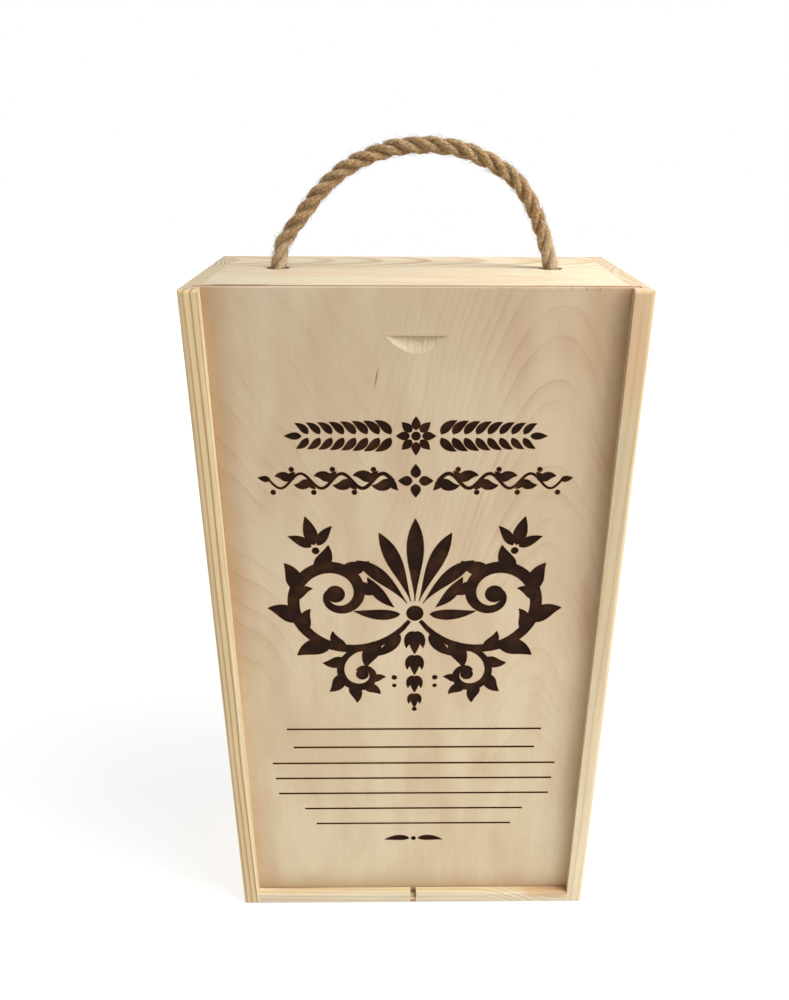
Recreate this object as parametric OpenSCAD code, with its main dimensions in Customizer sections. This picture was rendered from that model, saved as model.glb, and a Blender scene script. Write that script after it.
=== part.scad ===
// Two-bottle wooden wine box with a lid that slides up out of its grooves,
// a loose divider and a rope handle knotted under the top board.
// The front of the box faces -Y and the bottom rests on Z = 0.

/* [Box] */
// Overall width, over both side boards
box_w = 200; // [180:1:260]
// Overall depth, from the front lips to the back of the panel
box_d = 108; // [100:1:140]
// Overall height, without the rope
box_h = 350; // [335:1:420]
// Thickness of the two side boards
side_t = 9; // [8:0.5:14]
// Thickness of the top and bottom boards
end_t = 8; // [7:0.5:14]
// Thickness of the back panel
back_t = 4; // [3:0.5:8]
// Radius sanded on the outer edges of the closed box
edge_r = 2; // [0.5:0.1:2.5]
// Radius eased on the upper front edge of the bottom board
lip_r = 1.5; // [0.5:0.1:2.5]

/* [Sliding lid] */
// Thickness of the lid
lid_t = 4; // [3:0.5:6]
// Height of the front lips over the face of the lid
lip = 5; // [4:0.5:8]
// Depth of the lid's groove in each side board
groove_depth = 4; // [3:0.5:5]
// Depth of the lid's groove in the bottom board
seat_depth = 3.5; // [2:0.5:4.5]
// Clearance on each face of the lid in its grooves
lid_face_gap = 0.2; // [0.1:0.05:0.4]
// Clearance at each side edge and under the lower edge of the lid
lid_edge_gap = 0.4; // [0.3:0.1:1]
// Gap between the back of the lid and the top board
lid_rear_gap = 1.5; // [0.8:0.1:3]

/* [Thumb notch] */
// Width of the notch along its straight upper edge
notch_w = 27; // [20:1:40]
// Height of the notch, from its upper edge to its lowest point
notch_h = 7.5; // [5:0.5:12]
// Depth of the notch at its upper edge
notch_depth = 2; // [1:0.1:2.5]
// Distance of the upper edge below the top of the lid
notch_drop = 20; // [12:1:40]

/* [Divider] */
// Thickness of the divider
divider_t = 3; // [2.5:0.5:5]
// Depth of its grooves in the top and bottom boards
divider_groove = 4.5; // [2:0.5:5]
// Clearance on each face of the divider in its grooves
divider_face_gap = 0.1; // [0.05:0.05:0.3]
// Clearance at the top and back edges of the divider
divider_edge_gap = 0.2; // [0.1:0.1:0.8]

/* [Rope handle] */
// Diameter of the rope
rope_d = 7.5; // [6:0.5:9]
// Diameter of the rope holes
hole_d = 11; // [10:0.5:13]
// Distance of each rope hole from the outer face of its side
hole_inset = 35; // [32:1:45]
// Distance of the rope holes from the front of the box
hole_setback = 63; // [50:1:70]
// Gap where one stretch of rope, or a knot, meets its neighbour
rope_gap = 0.3; // [0.2:0.1:0.6]
// Diameter of the knots
knot_d = 22; // [16:1:26]
// Height of the knots
knot_h = 18; // [14:1:24]
// Length of the cut rope end below each knot
tail_l = 10; // [5:1:14]

/* [Brads] */
// Diameter of the shanks
brad_d = 1.2; // [1:0.1:1.8]
// Diameter of the heads
brad_head_d = 2.4; // [2:0.1:3]
// Thickness of the heads
brad_head_t = 0.6; // [0.4:0.1:1]
// Length of the brads through the sides
corner_brad_l = 25; // [18:1:28]
// Length of the brads through the back panel
back_brad_l = 20; // [14:1:30]
// Clearance around the brads
brad_gap = 0.05; // [0.02:0.01:0.1]
// Brads at each corner joint
corner_brad_count = 3; // [2:1:4]
// Brads along each side of the back panel
back_side_brad_count = 5; // [3:1:7]
// Brads along the top and along the bottom of the back panel
back_end_brad_count = 4; // [2:2:6]
// Distance of the outermost corner brads from the ends of their joint
corner_brad_margin = 20; // [12:1:25]
// Distance of the outermost back brads from the inner corners
back_brad_margin = 25; // [18:1:40]

/* [Hidden] */

pine = "#E3CBA0";
end_pine = "#E9D3A8";
birch = "#D6BE97";
jute = "#A98B62";
steel = "#9A9A98";

// Faces that a cut runs past, so that it leaves no skin
past = 1;
$fn = 48;

// The planes that the pieces share, measured from the front of the box
front_y = -box_d / 2;
back_y = box_d / 2;
panel_y = back_y - back_t;
lid_y = front_y + lip;
top_front_y = lid_y + lid_t + lid_rear_gap;

inner_x = box_w / 2 - side_t;
top_z = box_h - end_t;

// Brads run along the middle of the top and bottom boards
top_brad_z = box_h - end_t / 2;
bottom_brad_z = end_t / 2;

// The rope's holes, and the line that the standing arch turns about
hole_x = box_w / 2 - hole_inset;
hole_y = front_y + hole_setback;
pivot_rise = rope_d / 2 + rope_gap;

// Route of the rope's arch: distance from the middle of the box, and height
// over the top board, drawn for holes that are 130 mm apart
drawn_spacing = 130;
arch_route = [
    [-62.5, 10], [-58.5, 16], [-53.5, 22], [-48.5, 28], [-42.5, 34.5], [-36, 40],
    [-28.5, 44.8], [-20.5, 48.2], [-11, 51.2], [0, 52.5], [10.5, 52.4], [20, 51],
    [29, 48.2], [37.5, 44], [44.5, 39.5], [50, 34], [54.5, 27.2], [58, 20], [61, 12.5]
];
rope_sides = 12;
dome_angles = [75, 50, 25];

// n places spread evenly from a to b
function spread(n, a, b) = [for (i = [0:n - 1]) a + (b - a) * i / (n - 1)];

function unit(v) = v / norm(v);

// A rectangle with its corners rounded, centred on the origin
module rounded_rectangle(w, h, r) {
    square([w - 2 * r, h], center = true);
    square([w, h - 2 * r], center = true);
    for (x = [-1, 1], y = [-1, 1])
        translate([x * (w / 2 - r), y * (h / 2 - r)])
            circle(r);
}

// The space inside the sanded outside of the closed box
module sanded_outside() {
    intersection() {
        linear_extrude(box_h)
            rounded_rectangle(box_w, box_d, edge_r);
        translate([0, back_y, box_h / 2])
            rotate([90, 0, 0])
                linear_extrude(box_d)
                    rounded_rectangle(box_w, box_h, edge_r);
        translate([-box_w / 2, 0, box_h / 2])
            rotate([90, 0, 90])
                linear_extrude(box_w)
                    rounded_rectangle(box_d, box_h, edge_r);
    }
}

// A block between two opposite corners
module block(low, high) {
    translate(low)
        cube(high - low);
}

// A brad with its head at the origin, driven towards -Z; a positive gap
// makes it the hole for one
module brad(length, gap = 0) {
    head_top = gap > 0 ? past : 0;
    tip = 1.5 * brad_d;
    translate([0, 0, -brad_head_t - gap])
        cylinder(d = brad_head_d + 2 * gap, h = brad_head_t + gap + head_top);
    if (gap > 0) {
        translate([0, 0, -length - gap])
            cylinder(d = brad_d + 2 * gap, h = length);
    } else {
        translate([0, 0, tip - length])
            cylinder(d = brad_d, h = length - tip);
        translate([0, 0, -length])
            cylinder(d1 = brad_d / 4, d2 = brad_d, h = tip);
    }
}

// The brads of one corner joint: side is -1 left and 1 right, z is the
// middle of the top or bottom board
module corner_brads(side, z, gap = 0) {
    first = top_front_y + corner_brad_margin;
    last = panel_y - corner_brad_margin;
    for (y = spread(corner_brad_count, first, last))
        translate([side * box_w / 2, y, z])
            rotate([0, side * 90, 0])
                brad(corner_brad_l, gap);
}

// The brads that hold the back panel to one side board
module back_side_brads(side, gap = 0) {
    for (z = spread(back_side_brad_count, end_t + back_brad_margin, top_z - back_brad_margin))
        translate([side * (inner_x + side_t / 2), back_y, z])
            rotate([-90, 0, 0])
                brad(back_brad_l, gap);
}

// The brads that hold the back panel to the top or bottom board
module back_end_brads(z, gap = 0) {
    for (x = spread(back_end_brad_count, back_brad_margin - inner_x, inner_x - back_brad_margin))
        translate([x, back_y, z])
            rotate([-90, 0, 0])
                brad(back_brad_l, gap);
}

// Side board with the lid's groove along its inner face, open at both ends
module side_board(side) {
    inner = side * inner_x;
    groove = side * (inner_x + groove_depth);
    difference() {
        intersection() {
            block([min(inner, side * box_w / 2), front_y, 0],
                  [max(inner, side * box_w / 2), panel_y, box_h]);
            sanded_outside();
        }
        block([min(inner - side * past, groove), lid_y - lid_face_gap, -past],
              [max(inner - side * past, groove), lid_y + lid_t + lid_face_gap, box_h + past]);
        corner_brads(side, bottom_brad_z, brad_gap);
        corner_brads(side, top_brad_z, brad_gap);
        back_side_brads(side, brad_gap);
    }
}

module left_side() {
    color(pine)
        side_board(-1);
}

module right_side() {
    color(pine)
        side_board(1);
}

// The slot across a board for the edge of the divider
module divider_slot(from_y, low_z, high_z) {
    half = divider_t / 2 + divider_face_gap;
    block([-half, from_y, low_z], [half, panel_y + past, high_z]);
}

// Top board, short of the front so that the lid passes it
module top_board() {
    color(end_pine)
        difference() {
            intersection() {
                block([-inner_x, top_front_y, top_z], [inner_x, panel_y, box_h]);
                sanded_outside();
            }
            divider_slot(top_front_y - past, top_z - past, top_z + divider_groove);
            for (x = [-hole_x, hole_x])
                translate([x, hole_y, top_z - past])
                    cylinder(d = hole_d, h = end_t + 2 * past);
            for (side = [-1, 1])
                corner_brads(side, top_brad_z, brad_gap);
            back_end_brads(top_brad_z, brad_gap);
        }
}

// What is cut away to round the upper front edge of the bottom board
module lip_rounding() {
    translate([-box_w / 2, front_y, end_t])
        rotate([90, 0, 90])
            linear_extrude(box_w)
                difference() {
                    translate([-past, -lip_r])
                        square([lip_r + past, lip_r + past]);
                    translate([lip_r, -lip_r])
                        circle(lip_r);
                }
}

// Bottom board with the lid's seat and the divider's slot, which runs out
// through the front
module bottom_board() {
    color(end_pine)
        difference() {
            intersection() {
                block([-inner_x, front_y, 0], [inner_x, panel_y, end_t]);
                sanded_outside();
            }
            lip_rounding();
            block([-box_w / 2, lid_y - lid_face_gap, end_t - seat_depth],
                  [box_w / 2, lid_y + lid_t + lid_face_gap, end_t + past]);
            divider_slot(front_y - past, end_t - divider_groove, end_t + past);
            for (side = [-1, 1])
                corner_brads(side, bottom_brad_z, brad_gap);
            back_end_brads(bottom_brad_z, brad_gap);
        }
}

module back_panel() {
    color(birch)
        difference() {
            intersection() {
                block([-box_w / 2, panel_y, 0], [box_w / 2, back_y, box_h]);
                sanded_outside();
            }
            for (side = [-1, 1])
                back_side_brads(side, brad_gap);
            back_end_brads(bottom_brad_z, brad_gap);
            back_end_brads(top_brad_z, brad_gap);
        }
}

module divider() {
    color(birch)
        block([-divider_t / 2, top_front_y, end_t - divider_groove],
              [divider_t / 2, panel_y - divider_edge_gap, top_z + divider_groove - divider_edge_gap]);
}

// The notch is a slice of a wide cone that stands in front of the lid: its
// base makes the straight upper edge and its flank runs out to the face
module thumb_notch() {
    base_r = (pow(notch_w / 2, 2) + pow(notch_depth, 2)) / (2 * notch_depth);
    translate([0, lid_y + notch_depth - base_r, box_h - notch_drop - notch_h])
        cylinder(r1 = base_r - notch_depth, r2 = base_r, h = notch_h, $fn = 180);
}

module sliding_lid() {
    half = inner_x + groove_depth - lid_edge_gap;
    color(birch)
        difference() {
            block([-half, lid_y, end_t - seat_depth + lid_edge_gap], [half, lid_y + lid_t, box_h]);
            thumb_notch();
        }
}

// Centre line of the arch, from the left pivot over to the right one
arch = concat(
    [[-hole_x, hole_y, box_h + pivot_rise]],
    [for (p = arch_route) [p[0] * 2 * hole_x / drawn_spacing, hole_y, box_h + p[1]]],
    [[hole_x, hole_y, box_h + pivot_rise]]
);
arch_last = len(arch) - 1;

function arch_direction(i) = unit(arch[min(i + 1, arch_last)] - arch[max(i - 1, 0)]);

// One ring of points square to a direction that lies in the plane of the arch
function rope_ring(centre, direction, radius) = [
    for (k = [0:rope_sides - 1])
        let (turn = 360 * k / rope_sides)
        centre + radius * (cos(turn) * [-direction[2], 0, direction[0]] + sin(turn) * [0, 1, 0])
];

// The rings that round an end of the rope: way is -1 at the start and 1 at the end
function dome_ring(i, way, angle) = rope_ring(
    arch[i] + way * sin(angle) * rope_d / 2 * arch_direction(i),
    arch_direction(i),
    cos(angle) * rope_d / 2
);

// The standing arch of the rope, with ball ends that turn over the holes
module handle_rope() {
    start = [for (angle = dome_angles) dome_ring(0, -1, angle)];
    middle = [for (i = [0:arch_last]) rope_ring(arch[i], arch_direction(i), rope_d / 2)];
    end = [for (i = [1:len(dome_angles)]) dome_ring(arch_last, 1, dome_angles[len(dome_angles) - i])];
    rings = concat(start, middle, end);
    last = len(rings) - 1;
    points = [for (ring = rings) each ring];
    walls = [
        for (i = [0:last - 1], k = [0:rope_sides - 1])
            let (
                a = i * rope_sides + k,
                b = i * rope_sides + (k + 1) % rope_sides
            )
            each [[a, b, a + rope_sides], [b, b + rope_sides, a + rope_sides]]
    ];
    first_cap = [for (k = [1:rope_sides]) rope_sides - k];
    last_cap = [for (k = [0:rope_sides - 1]) last * rope_sides + k];
    color(jute)
        polyhedron(points, concat([first_cap], walls, [last_cap]), convexity = 4);
}

// The rope in its hole, its knot under the top board and the cut end
module rope_knot(side) {
    knot_top = top_z - rope_gap;
    round_r = knot_h / 2;
    translate([side * hole_x, hole_y, 0]) {
        translate([0, 0, knot_top - knot_h - tail_l])
            cylinder(d = rope_d, h = box_h - knot_top + knot_h + tail_l);
        translate([0, 0, knot_top - round_r])
            rotate_extrude()
                intersection() {
                    translate([knot_d / 2 - round_r, 0])
                        circle(round_r);
                    translate([0, -round_r])
                        square([knot_d / 2, knot_h]);
                }
        translate([0, 0, knot_top - knot_h])
            cylinder(r = knot_d / 2 - round_r, h = knot_h);
    }
}

module left_rope_knot() {
    color(jute)
        rope_knot(-1);
}

module right_rope_knot() {
    color(jute)
        rope_knot(1);
}

module top_left_brads() {
    color(steel)
        corner_brads(-1, top_brad_z);
}

module top_right_brads() {
    color(steel)
        corner_brads(1, top_brad_z);
}

module bottom_left_brads() {
    color(steel)
        corner_brads(-1, bottom_brad_z);
}

module bottom_right_brads() {
    color(steel)
        corner_brads(1, bottom_brad_z);
}

module back_left_brads() {
    color(steel)
        back_side_brads(-1);
}

module back_right_brads() {
    color(steel)
        back_side_brads(1);
}

module back_top_brads() {
    color(steel)
        back_end_brads(top_brad_z);
}

module back_bottom_brads() {
    color(steel)
        back_end_brads(bottom_brad_z);
}

left_side();
right_side();
top_board();
bottom_board();
back_panel();
divider();
sliding_lid();
handle_rope();
left_rope_knot();
right_rope_knot();
top_left_brads();
top_right_brads();
bottom_left_brads();
bottom_right_brads();
back_left_brads();
back_right_brads();
back_top_brads();
back_bottom_brads();
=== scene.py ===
"""Dressed model of an upright wooden box for two bottles.

The box has pine boards, a birch plywood lid that slides up out of its grooves,
and a handle of three-strand jute rope. Lengths are metres unless a name ends in
_mm. The lid faces -Y and the box stands on Z = 0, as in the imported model. A Wash
is a strength and an sRGB hex code. A Span is a start and an end, or in a field
whose name ends in _range, a gain and what is added to it. A field whose name ends
in _at is the scale of a noise along a line, and the line's other two coordinates.
"""

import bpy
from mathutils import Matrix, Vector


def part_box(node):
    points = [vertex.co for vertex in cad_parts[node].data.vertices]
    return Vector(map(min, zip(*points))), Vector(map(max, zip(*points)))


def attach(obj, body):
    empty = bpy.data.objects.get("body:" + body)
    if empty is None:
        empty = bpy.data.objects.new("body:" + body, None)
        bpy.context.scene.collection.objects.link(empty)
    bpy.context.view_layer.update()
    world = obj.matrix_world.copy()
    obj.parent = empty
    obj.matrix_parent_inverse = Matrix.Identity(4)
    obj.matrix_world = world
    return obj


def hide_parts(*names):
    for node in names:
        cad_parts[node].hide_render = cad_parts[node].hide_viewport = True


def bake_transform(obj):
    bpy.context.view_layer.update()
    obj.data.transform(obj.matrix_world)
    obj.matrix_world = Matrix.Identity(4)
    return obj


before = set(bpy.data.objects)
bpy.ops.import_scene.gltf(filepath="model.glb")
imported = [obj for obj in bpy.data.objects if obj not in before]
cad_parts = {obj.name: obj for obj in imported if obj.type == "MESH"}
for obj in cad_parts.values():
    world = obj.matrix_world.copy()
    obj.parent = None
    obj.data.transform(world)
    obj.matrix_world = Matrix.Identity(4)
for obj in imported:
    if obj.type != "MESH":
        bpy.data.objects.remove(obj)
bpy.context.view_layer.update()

import logging
import math
import random
from collections.abc import Iterable, Sequence
from dataclasses import dataclass, field
from enum import Enum

import bpy
from mathutils import Matrix, Vector, noise
from mathutils.geometry import delaunay_2d_cdt

log = logging.getLogger("wine_box")
MM = 0.001
Colour = tuple[float, float, float, float]
Span = tuple[float, float]
Triple = tuple[float, float, float]
Outline = list[Span]
Wash = tuple[float, str]
Piece = bpy.types.Object
Socket = bpy.types.NodeSocket
Material = bpy.types.Material
Tree = bpy.types.NodeTree


def tint(code: str) -> Colour:
    """Turns an sRGB hex code into a linear colour.

    Args:
        code: six hex digits, such as "E3CBA0".

    Returns:
        The linear red, green, blue and an alpha of 1.
    """
    channels = [int(code[i:i + 2], 16) / 255 for i in (0, 2, 4)]
    linear = [c / 12.92 if c <= 0.04045 else ((c + 0.055) / 1.055) ** 2.4 for c in channels]
    return linear[0], linear[1], linear[2], 1.0


def select_only(obj: Piece) -> None:
    """Makes one object the only selected and the active one."""
    for other in bpy.context.selected_objects:
        other.select_set(False)
    obj.select_set(True)
    bpy.context.view_layer.objects.active = obj


def apply_modifiers(obj: Piece) -> None:
    """Applies all of an object's modifiers, in their order."""
    select_only(obj)
    for name in [m.name for m in obj.modifiers]:
        bpy.ops.object.modifier_apply(modifier=name)


def settle(obj: Piece) -> None:
    """Puts an object's place, turn and scale into its mesh."""
    select_only(obj)
    bpy.ops.object.transform_apply(location=True, rotation=True, scale=True)


def mesh_object(name: str, vertices: Sequence[Sequence[float]], faces: Sequence[Sequence[int]]) -> Piece:
    """Makes an object of plain mesh data and links it to the scene.

    Args:
        name: the piece's name.
        vertices: points in the row frame.
        faces: vertex numbers of each face, outside to the front.

    Returns:
        The new object.
    """
    mesh = bpy.data.meshes.new(name)
    mesh.from_pydata(vertices, [], faces)
    mesh.update()
    obj = bpy.data.objects.new(name, mesh)
    bpy.context.scene.collection.objects.link(obj)
    return obj


def store(obj: Piece, name: str, values: Sequence) -> None:
    """Keeps a value for each point of a mesh, for its material to read.

    Args:
        obj: the piece.
        name: what the material reads it by.
        values: a number or a tuple of three for each point.
    """
    if isinstance(values[0], tuple):
        attribute = obj.data.attributes.new(name, "FLOAT_VECTOR", "POINT")
        attribute.data.foreach_set("vector", [c for v in values for c in v])
    else:
        attribute = obj.data.attributes.new(name, "FLOAT", "POINT")
        attribute.data.foreach_set("value", values)


class Graph:
    """Adds and joins the nodes of one node tree."""

    def __init__(self, tree: Tree) -> None:
        """Keeps the tree that the nodes go into."""
        self.tree = tree

    def add(self, kind: str, **settings: object) -> bpy.types.Node:
        """Adds a node and sets its properties.

        Args:
            kind: the node's type name.
            settings: properties of the node by name.

        Returns:
            The new node.
        """
        node = self.tree.nodes.new(kind)
        for key, value in settings.items():
            setattr(node, key, value)
        return node

    def feed(self, socket: Socket, value: object) -> None:
        """Joins a socket to another one, or gives it a plain value."""
        if isinstance(value, Socket):
            self.tree.links.new(value, socket)
        else:
            socket.default_value = value

    def math(self, operation: str, *values: object) -> Socket:
        """Adds a Math node and returns its value."""
        node = self.add("ShaderNodeMath", operation=operation)
        for socket, value in zip(node.inputs, values):
            self.feed(socket, value)
        return node.outputs[0]

    def times(self, a: object, b: object) -> Socket:
        """Returns the product of two values."""
        return self.math("MULTIPLY", a, b)

    def ramp(self, value: object, gain: object, base: object) -> Socket:
        """Multiplies a value and adds to it.

        Args:
            value: what is read.
            gain: what it is multiplied by.
            base: what is added then.

        Returns:
            The new value.
        """
        return self.math("MULTIPLY_ADD", value, gain, base)

    def vector(self, operation: str, *values: object) -> Socket:
        """Adds a Vector Math node and returns its vector, or its value where it has one."""
        node = self.add("ShaderNodeVectorMath", operation=operation)
        for socket, value in zip(node.inputs, values):
            self.feed(socket, value)
        return node.outputs["Value" if operation in ("LENGTH", "DOT_PRODUCT") else "Vector"]

    def scaled(self, vector: Socket, x: float, y: float, z: float) -> Socket:
        """Scales a vector by a share along each axis."""
        return self.vector("MULTIPLY", vector, (x, y, z))

    def split(self, vector: Socket) -> tuple[Socket, ...]:
        """Returns the X, Y and Z of a vector."""
        node = self.add("ShaderNodeSeparateXYZ")
        self.feed(node.inputs[0], vector)
        return tuple(node.outputs)

    def joined(self, x: object, y: object, z: object) -> Socket:
        """Returns a vector made of three values."""
        node = self.add("ShaderNodeCombineXYZ")
        for socket, value in zip(node.inputs, (x, y, z)):
            self.feed(socket, value)
        return node.outputs[0]

    def noise(self, vector: object, scale: float = 1.0, detail: float = 2.0, roughness: float = 0.5,
              distortion: float = 0.0) -> Socket:
        """Adds a noise of about 0 to 1.

        Args:
            vector: where it is read.
            scale: features per unit.
            detail: octaves.
            roughness: weight of the finer octaves.
            distortion: how tangled it is.

        Returns:
            The noise's value.
        """
        node = self.add("ShaderNodeTexNoise")
        self.feed(node.inputs["Vector"], vector)
        node.inputs["Scale"].default_value = scale
        node.inputs["Detail"].default_value = detail
        node.inputs["Roughness"].default_value = roughness
        node.inputs["Distortion"].default_value = distortion
        return node.outputs[0]

    def step(self, value: object, low: object, high: object, soft: bool = True) -> Socket:
        """Rises from 0 at low to 1 at high.

        Args:
            value: what is read.
            low: where the rise starts.
            high: where it ends; below low it is a fall.
            soft: rounds both ends of the rise.

        Returns:
            The risen value.
        """
        node = self.add("ShaderNodeMapRange", interpolation_type="SMOOTHSTEP" if soft else "LINEAR")
        self.feed(node.inputs["Value"], value)
        self.feed(node.inputs["From Min"], low)
        self.feed(node.inputs["From Max"], high)
        return node.outputs[0]

    def band(self, value: object, rise: Sequence[object], fall: Sequence[object]) -> Socket:
        """Rises over one span and falls over another.

        Args:
            value: what is read.
            rise: where the rise starts and ends.
            fall: where the fall ends and starts.

        Returns:
            The product of both.
        """
        return self.times(self.step(value, *rise), self.step(value, *fall))

    def mix(self, factor: object, a: object, b: object, blend: str = "MIX") -> Socket:
        """Mixes two colours.

        Args:
            factor: 0 for the first colour and 1 for the second.
            a: the first colour.
            b: the second colour.
            blend: how the second is laid on the first.

        Returns:
            The mixed colour.
        """
        first, second, result = 6, 7, 2  # the node's colour sockets
        node = self.add("ShaderNodeMix", data_type="RGBA", blend_type=blend)
        self.feed(node.inputs[0], factor)
        self.feed(node.inputs[first], a)
        self.feed(node.inputs[second], b)
        return node.outputs[result]

    def lay(self, colour: object, mask: object, wash: Wash) -> Socket:
        """Lays a wash over a colour.

        Args:
            colour: what lies under it.
            mask: where it lies, from 0 to 1.
            wash: its strength where the mask is 1, and its tone.

        Returns:
            The new colour.
        """
        share, code = wash
        return self.mix(self.times(mask, share), colour, tint(code))

    def shaded(self, colour: Socket, shade: Socket) -> Socket:
        """Returns a colour times a value."""
        return self.mix(1.0, colour, self.joined(shade, shade, shade), "MULTIPLY")

    def group(self, tree: Tree, **inputs: object) -> bpy.types.Node:
        """Places a node group.

        Args:
            tree: the group.
            inputs: values by socket name, with _ for a space.

        Returns:
            The group's node.
        """
        node = self.add("ShaderNodeGroup", node_tree=tree)
        for key, value in inputs.items():
            self.feed(node.inputs[key.replace("_", " ")], value)
        return node


class Effects:
    """The node groups that several finishes share."""

    KINDS = {"v": "NodeSocketVector", "f": "NodeSocketFloat"}

    def __init__(self) -> None:
        """Builds each group once."""
        self.rings = self._growth_rings()
        self.fibres = self._wood_fibres()
        self.bands = self._slow_bands()
        self.plies = self._plywood_edge()

    def _start(self, name: str, inputs: dict[str, str],
               outputs: dict[str, str]) -> tuple[Graph, dict, bpy.types.Node]:
        """Starts a group with named sockets.

        Args:
            name: the group's name.
            inputs: socket names and kinds, v or f.
            outputs: the same for what it puts out.

        Returns:
            The group's graph, its input sockets by name and its output node.
        """
        tree = bpy.data.node_groups.new(name, "ShaderNodeTree")
        for key, kind in inputs.items():
            tree.interface.new_socket(name=key, in_out="INPUT", socket_type=self.KINDS[kind])
        for key, kind in outputs.items():
            tree.interface.new_socket(name=key, in_out="OUTPUT", socket_type=self.KINDS[kind])
        graph = Graph(tree)
        entry = graph.add("NodeGroupInput")
        return graph, {key: entry.outputs[key] for key in inputs}, graph.add("NodeGroupOutput")

    def _growth_rings(self) -> Tree:
        """Late wood of rings round the Z axis, in millimetres."""
        g, given, out = self._start(
            "growth_rings",
            {"Vector": "v", "Ring Width": "f", "Wobble": "f"},
            {"Late Wood": "f", "Ring Tone": "f"},
        )
        slow_scale, slow_detail = (0.016, 0.016, 0.0048), 1.5
        fine_scale, fine_push = (0.35, 0.35, 0.02), 0.55
        uneven_scale, uneven_turns, uneven_at = 0.09, 1.6, (3.7, 1.3)
        start_range, full, fall = (0.3, 0.3), 0.9, (1.0, 0.93)
        strength_range = (0.65, 0.35)
        slow = g.add("ShaderNodeTexNoise")
        g.feed(slow.inputs["Vector"], g.scaled(given["Vector"], *slow_scale))
        slow.inputs["Scale"].default_value = 1.0
        slow.inputs["Detail"].default_value = slow_detail
        shift = g.vector("SUBTRACT", slow.outputs["Color"], (0.5, 0.5, 0.5))
        push = g.vector("MULTIPLY", shift, g.joined(*[given["Wobble"]] * 3))
        x, y, _ = g.split(g.vector("ADD", given["Vector"], push))
        radius = g.math("SQRT", g.math("ADD", g.times(x, x), g.times(y, y)))
        jitter = g.noise(g.scaled(given["Vector"], *fine_scale))
        radius = g.ramp(g.math("SUBTRACT", jitter, 0.5), fine_push, radius)
        uneven = g.noise(g.joined(g.times(radius, uneven_scale), *uneven_at), detail=1.0)
        turns = g.math("ADD", g.math("DIVIDE", radius, given["Ring Width"]), g.times(uneven, uneven_turns))
        ring = g.math("FLOOR", turns)
        part = g.math("SUBTRACT", turns, ring)
        chance = g.add("ShaderNodeTexWhiteNoise", noise_dimensions="1D")
        g.feed(chance.inputs["W"], ring)
        both = g.band(part, (g.ramp(chance.outputs["Value"], *start_range), full), fall)
        strength = g.ramp(chance.outputs["Value"], *strength_range)
        g.feed(out.inputs["Late Wood"], g.times(both, strength))
        g.feed(out.inputs["Ring Tone"], chance.outputs["Value"])
        return g.tree

    def _wood_fibres(self) -> Tree:
        """Fine streaks along Z and short dark pores, in millimetres."""
        g, given, out = self._start(
            "wood_fibres",
            {"Vector": "v", "Pore Share": "f"},
            {"Streak": "f", "Pores": "f"},
        )
        fine_scale, broad_scale, pore_scale = (3.0, 3.0, 0.07), (0.7, 0.7, 0.018), (1.9, 1.9, 0.24)
        fine_share, broad_share, pore_edge = 0.6, 0.4, 0.06
        fine = g.noise(g.scaled(given["Vector"], *fine_scale), detail=3.0, roughness=0.6)
        broad = g.noise(g.scaled(given["Vector"], *broad_scale))
        g.feed(out.inputs["Streak"], g.ramp(fine, fine_share, g.times(broad, broad_share)))
        dash = g.noise(g.scaled(given["Vector"], *pore_scale), detail=1.0)
        edge = g.math("SUBTRACT", 1.0, given["Pore Share"])
        g.feed(out.inputs["Pores"], g.step(dash, edge, g.math("ADD", edge, pore_edge)))
        return g.tree

    def _slow_bands(self) -> Tree:
        """Slow drift of a board's tone, in millimetres."""
        g, given, out = self._start("slow_bands", {"Vector": "v"}, {"Warm": "f", "Shade": "f"})
        for key, scale, span in (("Warm", (0.045, 0.045, 0.012), (0.38, 0.66)),
                                 ("Shade", (0.11, 0.11, 0.02), (0.3, 0.7))):
            drift = g.noise(g.scaled(given["Vector"], *scale))
            g.feed(out.inputs[key], g.step(drift, *span))
        return g.tree

    def _plywood_edge(self) -> Tree:
        """The plies that an edge of plywood shows; Through runs from 0 to 1 through the sheet.

        The spans are distances from the middle of the sheet.
        """
        core_span, glue_inner, glue_outer = (0.21, 0.18), (0.165, 0.19), (0.225, 0.2)
        g, given, out = self._start("plywood_edge", {"Through": "f", "Edge": "f"}, {"Core": "f", "Glue": "f"})
        off = g.math("ABSOLUTE", g.math("SUBTRACT", given["Through"], 0.5))
        core = g.step(off, *core_span)
        glue = g.band(off, glue_inner, glue_outer)
        g.feed(out.inputs["Core"], g.times(core, given["Edge"]))
        g.feed(out.inputs["Glue"], g.times(glue, given["Edge"]))
        return g.tree


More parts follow.
